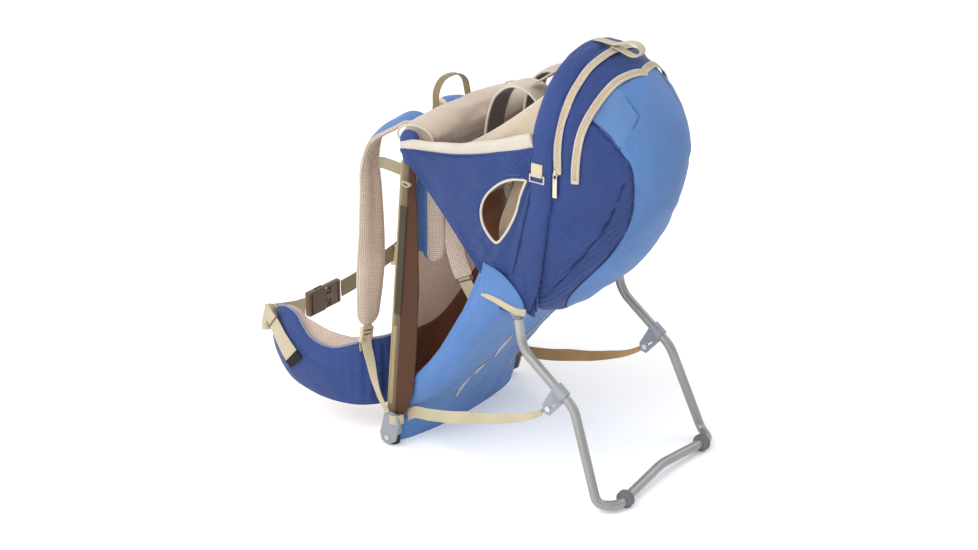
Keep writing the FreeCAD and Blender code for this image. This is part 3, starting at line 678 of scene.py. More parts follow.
def seam_at(seam, turn, outside):
    """A seam's share of the way back at each turn; outside its span it takes the given value."""
    turns, backs = np.array(seam, float).T
    found = np.interp(np.abs(turn), turns, backs)
    return np.where((np.abs(turn) < turns[0]) | (np.abs(turn) > turns[-1]), outside, found)


def dense(line, count):
    """A seam line of (turn, back) pairs as evenly spaced points."""
    out = smooth(np.array(line, float) * [1, 300], count)
    return out[:, 0], out[:, 1] / 300


def near_lines(points, lines):
    """Distance from every point to the nearest of several dense polylines."""
    flat = points.reshape(-1, 3)
    best = np.full(len(flat), 1e9)
    for line in lines:
        for start in range(0, len(flat), 4000):
            block = flat[start:start + 4000, None] - line[None]
            best[start:start + 4000] = np.minimum(best[start:start + 4000],
                                                  np.sqrt((block ** 2).sum(-1)).min(1))
    return best.reshape(points.shape[:-1])


def seam_on_bag(seam, side, count=80):
    turn, back = dense(seam, count)
    return bag_point(turn * side, back)


def build_bag():
    """The pack's shell: dark cloth before the panel seam, light cloth with two facets behind it."""
    degrees = np.linspace(-180, 180, 361)[:-1]
    spread = np.abs(degrees)
    panel_seam = seam_at(PANEL_SEAM, degrees, 0.19)
    zip_two = np.where(spread < 57, seam_at(ZIP_TWO, degrees, 0.16),
                       np.minimum(seam_at(ZIP_TWO, degrees, 0.16), panel_seam * 0.8))
    panel_seam = np.where(spread < 57, zip_two + 0.004, np.maximum(panel_seam, zip_two + 0.004))
    zip_one = np.minimum(seam_at(ZIP_ONE, degrees, 0.055), zip_two * 0.6)
    marks = [0 * degrees, zip_one, zip_two, panel_seam, 1 + 0 * degrees]
    parts = [6, 14, 42, 70]
    backs = [marks[0]]
    for before, after, steps in zip(marks, marks[1:], parts):
        for step in range(1, steps + 1):
            backs.append(before + (after - before) * step / steps)
    backs = np.array(backs)
    rows = bag_point(degrees[None], backs)
    normal = bag_normal(degrees[None], np.clip(backs, 0.004, 0.985))
    seams = {name: [seam_on_bag(line, side) for side in (LEFT, RIGHT)]
             for name, line in (("one", ZIP_ONE), ("two", ZIP_TWO), ("panel", PANEL_SEAM),
                                ("crease", SIDE_CREASE))}
    facets = [seam_on_bag(line, side, 50) for line in FACET_SEAMS for side in (LEFT, RIGHT)]
    to_zip = near_lines(rows, seams["one"] + seams["two"])
    to_panel = near_lines(rows, seams["panel"])
    to_crease = near_lines(rows, seams["crease"])
    to_facet = near_lines(rows, facets)
    x, y, z = np.moveaxis(rows, -1, 0)
    fill = ease((1 - backs) / 0.2)
    relief = 2.1 * ripple(z + 0.3 * x, x * 0.9 + y * 0.8, 120, 1) * ease(backs / 0.15) * fill
    relief += 1.0 * ripple(z, x + 0.6 * y, 46, 2) * ease(backs / 0.12) * fill
    for near, depth, reach in ((to_panel, 2.2, 5.0), (to_crease, 1.6, 4.0), (to_facet, 0.9, 3.0),
                               (to_zip, 1.2, 7.0)):
        relief -= depth * np.exp(-(near / reach) ** 2)
    arc = spread * 2.6
    pucker = np.sin(arc * 2 * np.pi / 13 + 1.5 * np.sin(arc / 17)) * (0.6 + 0.4 * np.sin(arc / 23))
    relief += 1.2 * pucker * np.exp(-to_panel / 16) * (backs < panel_seam)
    relief += 1.7 * pucker * np.exp(-to_crease / 26) * ease((spread - 92) / 8)
    sag = np.exp(-((z - 500) / 40) ** 2 - ((x - 345) / 30) ** 2)
    relief += 3.0 * sag * np.sin((z + 0.9 * x) * 2 * np.pi / 34)
    rows = rows + normal * relief[..., None]
    facet = (spread < 68) & (spread > 29)
    reach = np.interp(spread, [27.5, 35, 43.5, 56, 60, 65, 68.5],
                      [0.255, 0.529, 0.529, 0.515, 0.50, 0.49, 0.483])
    light = np.arange(len(rows) - 1)[:, None] >= sum(parts[:3])
    mats = np.where(light & facet & (backs[:-1] < reach), 2, light)
    uv = combine(degrees * 0.0026, backs * 0.34)
    bag = make("storage_pack", *ring_cage(rows), [dark_cloth, light_cloth, facet_cloth],
               uv=uv.reshape(-1, 2), face_mats=[*mats.ravel(), 0, 1])
    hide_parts("rear_pack")


build_bag()


def bag_line(seam, side, lift, count=90):
    turn, back = dense(seam, count)
    return (bag_point(turn * side, back) + bag_normal(turn * side, back) * lift,
            bag_normal(turn * side, back))


def zip_tapes(word, seam):
    """Two cream tape edges with the coil between them, from one side over the top to the other."""
    left, left_out = bag_line(seam, LEFT, 2.2)
    right, right_out = bag_line(seam, RIGHT, 2.2)
    line = np.concatenate([left[::-1], right[1:]])
    out = np.concatenate([left_out[::-1], right_out[1:]])
    across = np.cross(tangents(line), out)
    line = line + 0.25 * np.sin(lengths(line) / 9.0)[:, None] * out
    for part, step in (("front", -4.4), ("rear", 4.4)):
        sweep(f"zip_tape_{word}_{part}", line + across * step + out * 0.2, strap_section(5.2, 2.4),
              across, [zip_web])
    tooth = np.sin(lengths(line) * 2 * np.pi / 1.9)[:, None, None]
    coil = np.broadcast_to(strap_section(4.6, 2.2), (len(line), 20, 2)) * (1 + 0.06 * tooth)
    sweep(f"zip_coil_{word}", line - out * 0.1, coil, across, [zip_coil])
    for part, end in (("left", 0), ("right", -1)):
        block = line[end] + np.array([[0, 0, -3.0], [0, 0, 0], [0, 0, 3.0]])
        sweep(f"zip_end_{word}_{part}", block, strap_section(13.0, 3.4), across[end], [zip_web])


zip_tapes("one", ZIP_ONE[:-2] + [(90.08, 0.052)])
zip_tapes("two", ZIP_TWO[:-1])


def build_pack_seams(word, side):
    """Thread lines sunk into the pack's seams."""
    for seam_name, seam, lift in (("panel", PANEL_SEAM[:-2], -1.6), ("crease", SIDE_CREASE[1:-1], -1.2)):
        piping(f"pack_{seam_name}_seam_{word}", bag_line(seam, side, lift, 140)[0], 1.1, dark_thread)
    for number, seam in enumerate(FACET_SEAMS):
        piping(f"pack_facet_seam_{number}_{word}", bag_line(seam, side, -0.7, 60)[0], 0.7, blue_thread)


each_side(build_pack_seams)


# ---- hoop sleeve -------------------------------------------------------------------------------
def hoop_x(z):
    """How far back the hoop's leg is at a height."""
    return np.interp(z, [322, 346, 487, 545, 600], [251, 256, 285, 297, 300])


def hoop_line(count):
    """Centre line of the rear hoop, from the left foot over the arch to the right foot."""
    leg = [(253.528, -150, 334), (256, -150, 346), (285, -150, 487), (297, -150, 545), (300, -150, 600)]
    arch = [(300, -150 * math.cos(turn), 600 + 150 * math.sin(turn))
            for turn in np.linspace(0.12, math.pi - 0.12, 17)]
    other = [(x, -y, z) for x, y, z in reversed(leg)]
    return smooth(leg + arch + other, count)


def build_sleeve():
    """Padded sleeve round the hoop, dark outside and taupe towards the child."""
    line = hoop_line(260)
    ahead = tangents(line)
    back = np.tile([1.0, 0, 0], (len(line), 1))
    back = unit(back - ahead * np.sum(back * ahead, axis=1, keepdims=True))
    at = lengths(line)
    shape = [(-15.5, -3), (-15.8, 2), (-14, 7.5), (-9, 11.6), (0, 13.6), (9, 13.4), (18, 11.8), (25, 9.2),
             (30, 5.5), (31, 1.0), (28, -3.5), (21, -7), (12, -9.5), (0, -12.5), (-8, -11.5), (-13.5, -7.5)]
    loop = smooth(shape + shape[:1], 49)[:-1]
    sections = np.broadcast_to(loop, (len(line),) + loop.shape).copy()
    taper = 1 - 0.16 * np.exp(-(at / 20) ** 2) - 0.16 * np.exp(-((at[-1] - at) / 20) ** 2)
    sections *= taper[:, None, None]
    tail = np.interp(line[:, 2], [430, 560], [1.25, 0.74])[:, None]
    sections[..., 0] = np.where(sections[..., 0] > 12, 12 + (sections[..., 0] - 12) * tail, sections[..., 0])
    fold = 0.8 * ripple(at[:, None], loop[None, :, 0] * 3.2, 90, 3)
    fold += 0.5 * ripple(at[:, None], loop[None, :, 0] * 2.0, 34, 4)
    sections += unit(sections) * fold[..., None]
    sweep("hoop_sleeve", line, sections * [1, -1], back, [dark_cloth, taupe_cloth],
          section_mats=[int(loop[j, 1] < -6) for j in range(len(loop))])


build_sleeve()


def build_front_gusset(word, side):
    """Dark cloth between the lower hoop sleeve and the pack."""
    rows = []
    for z in np.linspace(320, 470, 40):
        hoop = hoop_x(z) if z > 334 else 250 + (z - 310) * 0.15
        x = np.linspace(hoop, 314 - PACK_LEAN * (LEAN_BELOW - z) + 12, 12)
        y = np.interp(z, [296, 320, 360], [128, 138, 144.5])
        rows.append(combine(x, -y, z))
    cloth(f"pack_front_gusset_{word}", rows, 2.4, [dark_cloth], "stretched", ["rear_hoop"], side)


each_side(build_front_gusset)


def build_foot_cover(word, side):
    """Dark cloth over the hoop's lower end, joining the side panel and the pack."""
    rows = []
    for z in np.linspace(322, 410, 30):
        t = np.linspace(0, 1, 16)
        x = hoop_x(z) - 20 + 44 * t
        y = 169.6 - 7.5 * ease((z - 368) / 32) - 0.8 * t - 12 * t ** 6 + 0.5 * np.sin(z / 9 + 5 * t)
        rows.append(combine(x, -y, z))
    cloth(f"hoop_foot_cover_{word}", rows, 2.0, [dark_cloth], "stretched", ["rear_hoop"], side)


each_side(build_foot_cover)


# ---- cockpit: side panels, rim, bolster, lining ------------------------------------------------
def side_reach(x):
    """Half width of the side panels: round the post at the front, in to the hoop at the rear."""
    return np.interp(x, [30, 45, 62, 100, 200, 300], [186, 185.5, 182.5, 175.5, 168, 160.5])


TEARDROP = [(281, 563), (262, 561), (240, 553), (217, 536), (200, 514), (194, 490), (197, 471), (207, 454),
            (224, 441), (238, 456), (252, 480), (263, 506), (272, 540), (281, 563)]
SIDE_OUTLINE = [(36, 573), (80, 578), (130, 582), (180, 590), (230, 603), (272, 614), (292, 618),
                (292, 566), (279, 500), (266, 440), (252, 380), (240, 343), (224, 350), (208, 361),
                (180, 395), (139, 446), (94, 501), (52, 553), (36, 573)]


def by_angle(outline, centre, count):
    """Outline points at even angles round a centre, clockwise from straight up."""
    closed = np.array(outline, float)
    fine = np.concatenate([between(a, b, 30) for a, b in zip(closed, closed[1:])])
    turn = np.unwrap(np.arctan2(fine[:, 0] - centre[0], fine[:, 1] - centre[1]))
    order = np.argsort(np.mod(turn, 2 * np.pi))
    turn = np.mod(turn, 2 * np.pi)[order]
    fine = fine[order]
    want = np.linspace(0, 2 * np.pi, count, endpoint=False)
    return np.column_stack([np.interp(want, turn, fine[:, k], period=2 * np.pi) for k in (0, 1)])


def build_side(word, side):
    """The cockpit's side panel with its teardrop leg opening, piping and stitched hem."""
    centre = (226, 505)
    count, rings = 240, 40
    inner = by_angle(smooth(TEARDROP, 200), centre, count)
    outer = by_angle(SIDE_OUTLINE, centre, count)
    share = np.linspace(0, 1, rings) ** 1.15
    flat = inner[None] * (1 - share[:, None, None]) + outer[None] * share[:, None, None]
    x, z = flat[..., 0], flat[..., 1]
    y = side_reach(x)
    hole = np.linspace(0, 1, rings)[:, None] + 0 * x
    billow = 5.0 * np.sin(np.pi * np.clip((x - 60) / 190, 0, 1)) * np.exp(-((z - 530) / 60) ** 2)
    folds = 1.5 * ripple(x * 0.8 + z, x - z * 0.3, 95, 5) + 0.7 * ripple(x + z * 0.7, z, 42, 6)
    fan = 1.6 * np.exp(-((x - 262) / 40) ** 2) * np.sin(np.arctan2(z - 575, 292 - x) * 26)
    tension = 1.3 * np.exp(-((x - 205) / 26) ** 2 - ((z - 420) / 60) ** 2)
    tension = tension * np.sin((x - 0.65 * z) * 2 * np.pi / 27)
    seam_distance = np.abs((x - 205) * 0.83 + (z - 430) * 0.56)
    seam = 1.1 * np.exp(-(seam_distance / 3.5) ** 2) * (z < 442)
    edge = ease(hole / 0.12) * ease((1 - hole) / 0.08)
    y = y + (billow + folds + fan + tension) * edge - seam + 1.2 * np.exp(-(hole / 0.05) ** 2)
    rows = combine(x, -y, z)
    # The side panel's inner face takes the lining colour darkened with painted shade.
    looks = [dark_cloth, inner_painted_shade_cloth] if side == LEFT else [inner_painted_shade_cloth, dark_cloth]
    piece = cloth(f"cockpit_side_{word}_cloth", rows, 2.4, looks, "stretched", [f"post_{word}", "rear_hoop"],
                  side, flat=(0.27, 0.285), wrap=True, slot="fabric_dark_blue")
    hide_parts(f"cockpit_side_{word}")
    opening = mirror(rows[0], side) + [0, side * 0.6, 0]
    piping(f"leg_opening_piping_{word}", opening, 2.3, cream_pipe, loop=True)
    hem = [(38, 571), (60, 544), (94, 502), (139, 447), (180, 396), (208, 362)]
    line = side_line([(x, -(side_reach(x) + 0.6), z) for x, z in hem], side, 90)
    piping(f"side_hem_{word}", line, 1.9, dark_cloth)
    stitches(f"side_hem_stitch_{word}", line + [7.0, side * 1.2, 4.6], [0, side, 0], dark_thread)


each_side(build_side)


def build_rim(word, side):
    """Cream padded band along the cockpit's upper edge, deeper towards the hoop."""
    route = [(37, -181, 573, 7), (60, -180, 576.5, 8.5), (100, -177, 579, 9.5), (150, -172, 584, 10.5),
             (200, -166, 594, 12), (245, -161, 606, 13), (288, -156, 620, 14)]
    rows = smooth(route, 90)
    line = mirror(rows[:, :3], side)
    height = rows[:, 3:]
    c, s = np.cos(turns(24)), np.sin(turns(24))
    at = lengths(line)[:, None]
    section = combine((height + 0.5 * np.sin(at / 11)) * np.sign(c) * np.abs(c) ** 0.8,
                      (6.3 + 0.5 * np.sin(at / 16)) * np.sign(s) * np.abs(s) ** 0.8)
    lifted = line + UP * (height * 0.75)
    band = sweep(f"rim_band_{word}", lifted, section, [0.0, side * 0.12, 1.0], [cream_cloth])
    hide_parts(f"rim_pad_{word}")
    piping(f"rim_seam_{word}", lifted + [0, side * 5.2, 0] - UP * height * 0.86, 1.3, dark_cloth)


each_side(build_rim)


def puffed(name, rings, materials, voxel, cap, swell, stands_for):
    """A padded cushion from rings of points, shown in place of a CAD node."""
    piece = make(name, *ring_cage(rings), materials, body=None)
    inflate(piece, voxel, cap, swell)
    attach(piece, "carrier")
    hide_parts(stands_for)
    return piece


def build_roll():
    """Padded bolster between the post tops, with piping round its ends."""
    turn = turns(28)
    rings = []
    for y in np.linspace(-148, 148, 24):
        end = 1 - 0.20 * ease((abs(y) - 118) / 30)
        rings.append(combine(42 + 43 * end * np.cos(turn), y, 585 + 22 * end * np.sin(turn)))

    def folds(points):
        x, y, z = points.T
        out = unit(combine((x - 42) / 3.2, 0, z - 585))
        lift = 0.9 * ripple(y, x * 0.4, 60, 7) + 0.8 * ripple(y, z, 27, 8) * ease((np.abs(y) - 60) / 60)
        lift -= 2.2 * np.exp(-((np.abs(y) - 139) / 3.0) ** 2)
        return out * lift[:, None]

    puffed("bolster", rings, [taupe_cloth], 0.0045, 0.007, folds, "front_roll")
    for word, side in SIDES.items():
        loop = combine(42 + 37.5 * np.cos(turn), side * 151.5, 585 + 19.8 * np.sin(turn))
        piping(f"bolster_piping_{word}", loop, 2.0, cream_pipe, loop=True)


build_roll()


def build_post_cap(word, side):
    """Dark cloth cap over the post's top, joining the bolster and the side panel."""
    turn = turns(24)
    rings = []
    for z, x, y, a, b in ((545, 49, 174, 12.5, 12), (556, 49, 174, 13.6, 12.8), (568, 49, 173.5, 16, 13.5),
                          (580, 47, 172, 19, 14), (590, 45, 170, 19, 13), (598, 44, 168, 15, 10),
                          (602, 44, 167, 8, 5)):
        rings.append(combine(x + a * np.cos(turn), -y + b * np.sin(turn), z))
    cap = make(f"post_cap_{word}", *ring_cage(mirror(rings, side)), [dark_cloth])
    soft = cap.modifiers.new("soft", "SUBSURF")
    soft.levels = soft.render_levels = 2


each_side(build_post_cap)


def build_linings(word, side):
    """Cockpit lining from the side rim down, and the lining inside the hoop's lower leg."""
    rows = []
    for s in np.linspace(0, 1, 44):
        x = 70 + 218 * s
        top = np.interp(x, [70, 150, 200, 250, 288], [566, 574, 590, 620, 650])
        low = np.interp(x, [70, 130, 200, 250, 288], [532, 534, 540, 556, 572])
        line = []
        for t in np.linspace(0, 1, 26):
            z = top + (low - top) * t
            y = 166 - (x - 70) * 0.085 - 22 * ease(t * 1.1) - 3 * math.sin(t * 3)
            if z > 600:
                y = min(y, 138 - 0.12 * (z - 600))
            y += 4.8 * math.sin(x / 9.5 + t * 4) * t * (1 - t)
            line.append((x, -y, z))
        rows.append(line)
    cloth(f"cockpit_lining_{word}", rows, 2.2, [lining_cloth], "hung", [f"rim_band_{word}"], side)
    rows = []
    for z in np.linspace(420, 600, 40):
        t = np.linspace(0, 1, 20)
        x = hoop_x(z) + 6 - (68 + 7 * np.sin((z - 420) / 30)) * (1 - t)
        rows.append(combine(x, -138 - 8 * t - 1.5 * np.sin(z / 14 + t), z))
    cloth(f"hoop_lining_{word}", rows, 2.2, [shaded_lining], "hung", ["rear_hoop"], side)


each_side(build_linings)


def build_head_gusset(word, side):
    """Taupe gusset from the bolster up to the hoop beside the child's head."""
    rows = []
    for s in np.linspace(0, 1, 50):
        top, low = 574 + 124 * s ** 1.25, 566 + 46 * s
        y_top, y_low = 150 - 34 * s, 158 - 14 * s
        line = []
        for t in np.linspace(0, 1, 16):
            y = y_top + (y_low - y_top) * t + 5 * math.sin(math.pi * t)
            y += 1.6 * math.sin(7 * t + 9 * s)
            line.append((112 + 176 * s, -y, top + (low - top) * t))
        rows.append(line)
    cloth(f"head_gusset_{word}", rows, 3.0, [lining_cloth], "stretched", ["rear_hoop"], side)
    piping(f"head_gusset_piping_{word}", mirror(rows, side)[:, 0], 2.2, cream_pipe)


each_side(build_head_gusset)


def build_harness(word, side):
    """Padded harness strap with bound edges, and its webbing riser up to the hoop."""
    line = side_line([(150, -58, 505), (139, -57, 560), (142, -55, 620), (158, -53, 662),
                      (188, -52, 683), (224, -52, 678), (256, -52, 640), (268, -52, 600)], side, 80)
    section = pad_section(50, 9, edge=3.5)
    half = len(section) // 2
    strap = sweep(f"harness_pad_{word}", line, section, [0, 1, 0], [taupe_cloth, brown_mesh],
                  section_mats=[int(j >= half) for j in range(len(section))])
    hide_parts(f"harness_strap_{word}")
    for number, step in enumerate((-25, 25)):
        piping(f"harness_binding_{word}_{number}", line + [0, step, 0], 2.4, cream_pipe)
    riser = side_line([(222, -52, 690), (248, -56, 706), (272, -64, 722), (291, -72, 735)], side, 30)
    webbing(f"harness_riser_{word}", riser, 34, 3.0, [0, 1, 0], lining_cloth)


each_side(build_harness)


def build_pads():
    """Seat back and seat as crowned pads; the back has sewn channels."""
    def pad_rings(route, width, thickness, count=26):
        line = smooth([(x, 0, z) for x, z in route], count)
        ahead = tangents(line)
        out = np.cross(ahead, [0, 1, 0])
        rings = []
        for k, (point, normal) in enumerate(zip(line, out)):
            end = 1 - 0.25 * (abs(2 * k / (count - 1) - 1)) ** 6
            section = pad_section(width * end, thickness, edge=4.0, count=13, power=4.0)
            rings.append([point + [0, a, 0] + normal * b for a, b in section])
        return rings

    def back_channels(points):
        x, y, z = points.T
        groove = sum(np.exp(-((z - level) / 4.5) ** 2) for level in (505, 570, 635))
        return combine(3.0 * groove * np.sign(280 - x), 0, 0) * (x < 280)[:, None]

    back = pad_rings([(276, 450), (284, 540), (282, 630), (278, 682)], 182, 13)
    puffed("seat_back_cushion", back, [object_mesh], 0.0055, 0.005, back_channels, "seat_back_pad")
    saddle = [(86, 446), (97, 372), (132, 324), (190, 320), (238, 366), (256, 414)]
    puffed("seat_saddle", pad_rings(saddle, 124, 10, 34), [brown_cloth], 0.0055, 0.004, None, "child_seat")


build_pads()


def build_front_screen():
    """Mesh between the bolster and the top of the back panel."""
    rows = []
    for z in np.linspace(500, 574, 22):
        y = np.linspace(-160, 160, 60)
        x = POST_LEAN * z + np.interp(z, [500, 520, 574], [-6, -2, -1])
        x = x + 5 * np.cos(y / 110) * (z - 500) / 74
        rows.append(combine(x + 0.8 * np.sin(y / 9 + z / 20), y, z))
    cloth("front_screen", rows, 2.4, [strap_mesh], "stretched", ["post_left", "post_right"])


build_front_screen()


def slider(name, centre, wide, ahead, half_width, half_length, steps, radius):
    """A round-wire slider frame, lying across a strap."""
    corners = [centre + wide * a * half_width + ahead * b * half_length
               for a, b in ((-1, -1), (1, -1), (1, 1), (-1, 1))]
    ring = np.concatenate([between(p, q, steps) for p, q in zip(corners, np.roll(corners, -1, 0))])
    sweep(name, ring, circle(radius, 10), np.cross(wide, ahead), [buckle_plastic], loop=True)


def build_inner_straps(word, side):
    """Padded straps and webbing hanging on the child's side of the back panel."""
    line = side_line([(62, -129, 530), (62, -128, 490), (61, -127, 445), (60, -126, 400),
                      (57, -125, 354)], side, 60)
    at = lengths(line)
    end = np.sqrt(np.clip(1 - ((at - (at[-1] - 16)) / 16).clip(0) ** 2, 0.06, 1))
    section = pad_section(1.0, 1.0, edge=0.32, count=15, power=3.0)
    sections = section[None] * combine(36 * end, 14)[:, None]
    across = mirror([0.80, 0.60, 0.0], side) * -side
    half = len(section) // 2
    pad = sweep(f"inner_side_pad_{word}", line, sections, across, [light_cloth, strap_mesh],
                section_mats=[int(3 < j < half + 3) for j in range(len(section))], slot="fabric_taupe")
    band = line[:-6] + np.array([-19, side * 14.5, 0])
    webbing(f"inner_side_band_{word}", band, 17, 3.0, mirror([0.8, 0.6, 0.0], side), light_cloth)
    drop = side_line([(76, -108, 455), (80, -106, 416), (86, -104, 385), (94, -102, 352),
                      (104, -100, 326)], side, 50)
    sections = pad_section(30, 9, edge=2.8, count=13)
    across = mirror([0.75, 0.62, 0.25], side)
    pad = sweep(f"inner_drop_pad_{word}", drop, sections, across, [strap_mesh])
    tongue = side_line([(100, -101, 332), (109, -99, 314), (121, -97, 294), (135, -95, 274),
                        (150, -94, 254)], side, 40)
    webbing(f"inner_web_{word}", tongue, 21, 1.8, across, cream_web)
    ahead = unit(drop[-1] - drop[-3])
    slider(f"inner_slider_{word}", drop[-1] + ahead * 3.0, unit(across), ahead, 13, 5, 8, 1.8)


each_side(build_inner_straps)


# ---- sling pouch under the seat ----------------------------------------------------------------
POUCH_EDGE = [(5, 5), (7, 44), (6, 94), (26, 116), (49, 139), (83, 178), (109, 214), (136, 259),
              (161, 304), (180, 347), (198, 388)]
POUCH_MIDDLE = [(36, 3), (44, 28), (56, 56), (72, 86), (88, 110), (112, 143), (146, 186), (180, 228),
                (214, 264), (250, 298), (280, 316)]


def pouch_point(v, u):
    """Surface of the hanging pouch; v from the feet up to the hoop, u across from -1 to 1."""
    steps = np.linspace(0, 1, len(POUCH_EDGE))
    edge, middle = (np.stack([np.interp(v, steps, np.array(line, float)[:, k]) for k in (0, 1)])
                    for line in (POUCH_EDGE, POUCH_MIDDLE))
    bend = np.where(u > 0, np.interp(v, [0, 0.35, 1], [2.7, 3.3, 3.3]),
                    np.interp(v, [0, 0.1, 0.35, 1], [1.5, 1.8, 3.3, 3.3]))
    fall = (1 - np.abs(u) ** bend) ** (1 / bend)
    x, z = edge + (middle - edge) * fall
    return combine(x, 168 * u, z)


def press(piece):
    """Gives the piece a mesh of its own; the folded kickstand lying on the pouch is not pressed into it."""
    tuple(place([83, 0, 178]))
    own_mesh(piece)


def build_pouch():
    """The hanging pouch with its hem and three pale slits on either side."""
    v = np.linspace(0, 1, 120)[:, None]
    a = np.linspace(-1, 1, 130)[None]
    u = np.sign(a) * (1 - (1 - np.abs(a)) ** 1.6)
    rows = pouch_point(v, np.broadcast_to(u, (120, 130)))
    for smoothing in range(3):
        rows[1:-1] = (rows[:-2] + 2 * rows[1:-1] + rows[2:]) / 4
    normal = grid_normals(rows)
    across = (1 - np.abs(u)) * 120
    long_folds = 2.6 * np.sin(across * 2 * np.pi / 46 + 1.2 * np.sin(v * 9)) * np.exp(-across / 60)
    relief = (long_folds + 1.4 * ripple(v * 420, u * 150, 110, 9) + 0.6 * ripple(v * 420, u * 150, 40, 10))
    relief = relief * ease(np.minimum(v, 1 - v) / 0.06) * ease(across / 8)
    rows = rows + normal * relief[..., None]
    pouch = cloth("sling_pouch", rows, 2.4, [light_cloth, warm_cloth], "hung",
                  ["seat_stay_left", "seat_stay_right"])
    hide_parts("storage_pouch")
    press(pouch)
    press(piping("pouch_hem", rows[0], 2.2, light_cloth))
    for word, side in SIDES.items():
        for number, dash in enumerate((((0.235, 0.39), (0.33, 0.405), (0.415, 0.39)),
                                       ((0.425, 0.33), (0.46, 0.31), (0.49, 0.27)),
                                       ((0.515, 0.15), (0.58, 0.20), (0.655, 0.22)))):
            path = smooth([(p * 400, (q + (0.22 if side == RIGHT else 0)) * 150) for p, q in dash], 16)
            line = pouch_point(path[:, 0] / 400, side * path[:, 1] / 150)
            width = 5.2 * np.sin(np.linspace(0.25, np.pi - 0.25, 16))[:, None, None] + 0.6
            out = unit(line - [line[:, 0].mean() - 60, 0, line[:, 2].mean() + 60])
            section = circle(0.5, 10)[None] * np.concatenate([width, 0 * width + 2.4], axis=-1)
            press(sweep(f"pouch_slit_{word}_{number}", line + out * 2.0, section,
                        np.cross(tangents(line), out), [cream_pipe], slot="webbing_cream"))


build_pouch()


STAY_LINE = [(9, 60), (8, 92), (26, 116), (49, 139), (83, 178), (109, 214), (136, 259), (161, 304),
             (180, 347), (196, 383)]


def build_stay_sleeve(word, side):
    """Rolled hem along the pouch's upper edge, outside the curved seat stay."""
    line = side_line([(x, -163.5, z) for x, z in STAY_LINE], side, 90)
    turn = turns(16)[None]
    radius = 6.4 + 0.4 * ripple(lengths(line)[:, None], turn * 10, 60, 11)
    radius -= 0.9 * np.exp(-((turn - 4.2) / 0.25) ** 2)
    section = combine(radius * np.cos(turn), radius * np.sin(turn))
    sweep(f"stay_sleeve_{word}", line, section, [0, 1, 0], [light_cloth])


each_side(build_stay_sleeve)


def build_flap(word, side):
    """Light corner flap over the hoop's lower end with a cream hem, and the dark cloth behind it."""
    left = smooth([(196, 341), (195, 355), (195, 369), (196, 382), (198, 395)], 34)
    right = smooth([(281, 329), (279, 345), (270, 365), (254, 380), (229, 393), (202, 398)], 34)
    rows = []
    for (xa, za), (xb, zb) in zip(left, right):
        line = []
        for t in np.linspace(0, 1, 34):
            x, z = xa + (xb - xa) * t, za + (zb - za) * t
            z += 4 * math.sin(math.pi * t) * ease((zb - 318) / 90) if zb > 318 else 0
            y = np.interp(x, [188, 235, 255, 272, 292], [170.5, 171.5, 172.5, 171.0, 161.0])
            y += 1.0 * math.sin(t * 7 + z / 14)
            line.append((x, -y, z))
        rows.append(line)
    cloth(f"corner_flap_{word}", rows, 2.6, [light_cloth], "hung", ["rear_hoop"], side)
    hem = side_line([(195, -171.5, 341), (212, -173, 341), (233, -174, 338), (254, -174.5, 333),
                     (270, -172, 329), (283, -165, 327)], side, 50)
    grow = np.interp(np.linspace(0, 1, 50), [0, 0.15, 0.5, 1], [0.3, 0.8, 1.0, 1.15])
    section = strap_section(12.0, 3.6)[None] * grow[:, None, None]
    sweep(f"flap_hem_{word}", hem, section, [0.25, 0, 1.0], [cream_web])
    s, t = np.linspace(0, 1, 20)[:, None], np.linspace(0, 1, 24)[None]
    x = 250 + 36 * t - 10 * (1 - s) * (1 - t)
    y = 150 - 34 * (1 - t) ** 2 - 8 * (1 - s)
    rows = combine(x, -y, 312 + 60 * s)
    cloth(f"hoop_foot_wrap_{word}", rows, 2.0, [dark_cloth], "stretched", ["rear_hoop"], side)


each_side(build_flap)


# ---- back panel and post sleeves ---------------------------------------------------------------
def back_x(z, y):
    """The back panel bows a little towards the wearer between the posts."""
    return POST_LEAN * z - 14 - 7 * (1 - (y / 160) ** 2) + 2.0 * np.sin(z / 60) * (1 - (y / 160) ** 2)


def build_back():
    """Brown lower panel and mesh upper panel between the posts, with their binding and cross web."""
    y = np.linspace(-160, 160, 84)
    brim = 195 + 0.0035 * (y + 60) * np.abs(y + 60) * (y > -60) + 3 * np.sin(y / 30)
    for name, low, high, count, look in (("back_lower", 76 + 0 * y, brim, 40, [brown_cloth]),
                                         ("back_upper", brim, 516 + 0 * y, 84, [child_mesh, back_mesh])):
        rows = []
        for t in np.linspace(0, 1, count):
            z = low + (high - low) * t
            x = back_x(z, y)
            if name == "back_lower":
                x = x + 1.2 * ripple(y, z, 70, 12) + 4 * np.sin(np.pi * t) * np.cos(y / 60)
            rows.append(combine(x, y, z))
        piece = cloth(name + "_panel", rows, 3.4, look, "stretched", ["post_left", "post_right"],
                      slot="mesh_brown")
        if name == "back_upper":
            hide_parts("back_panel")
    line = combine(back_x(brim, y) + 2.2, y, brim)
    webbing("back_panel_binding", line, 9, 2.0, [0, 0, 1], brown_cloth)
    y = np.linspace(-158, 158, 60)
    line = combine(back_x(440, y) + 3.2, y, 440)
    webbing("back_cross_web_0", line, 22, 2.0, [0, 0, 1], brown_mesh)


build_back()


def beside_post(z, back, out, side):
    """A line up the leaning post, moved back from its axis and out from the middle of the frame."""
    return mirror(combine(POST_LEAN * z + back, -out, z), side)


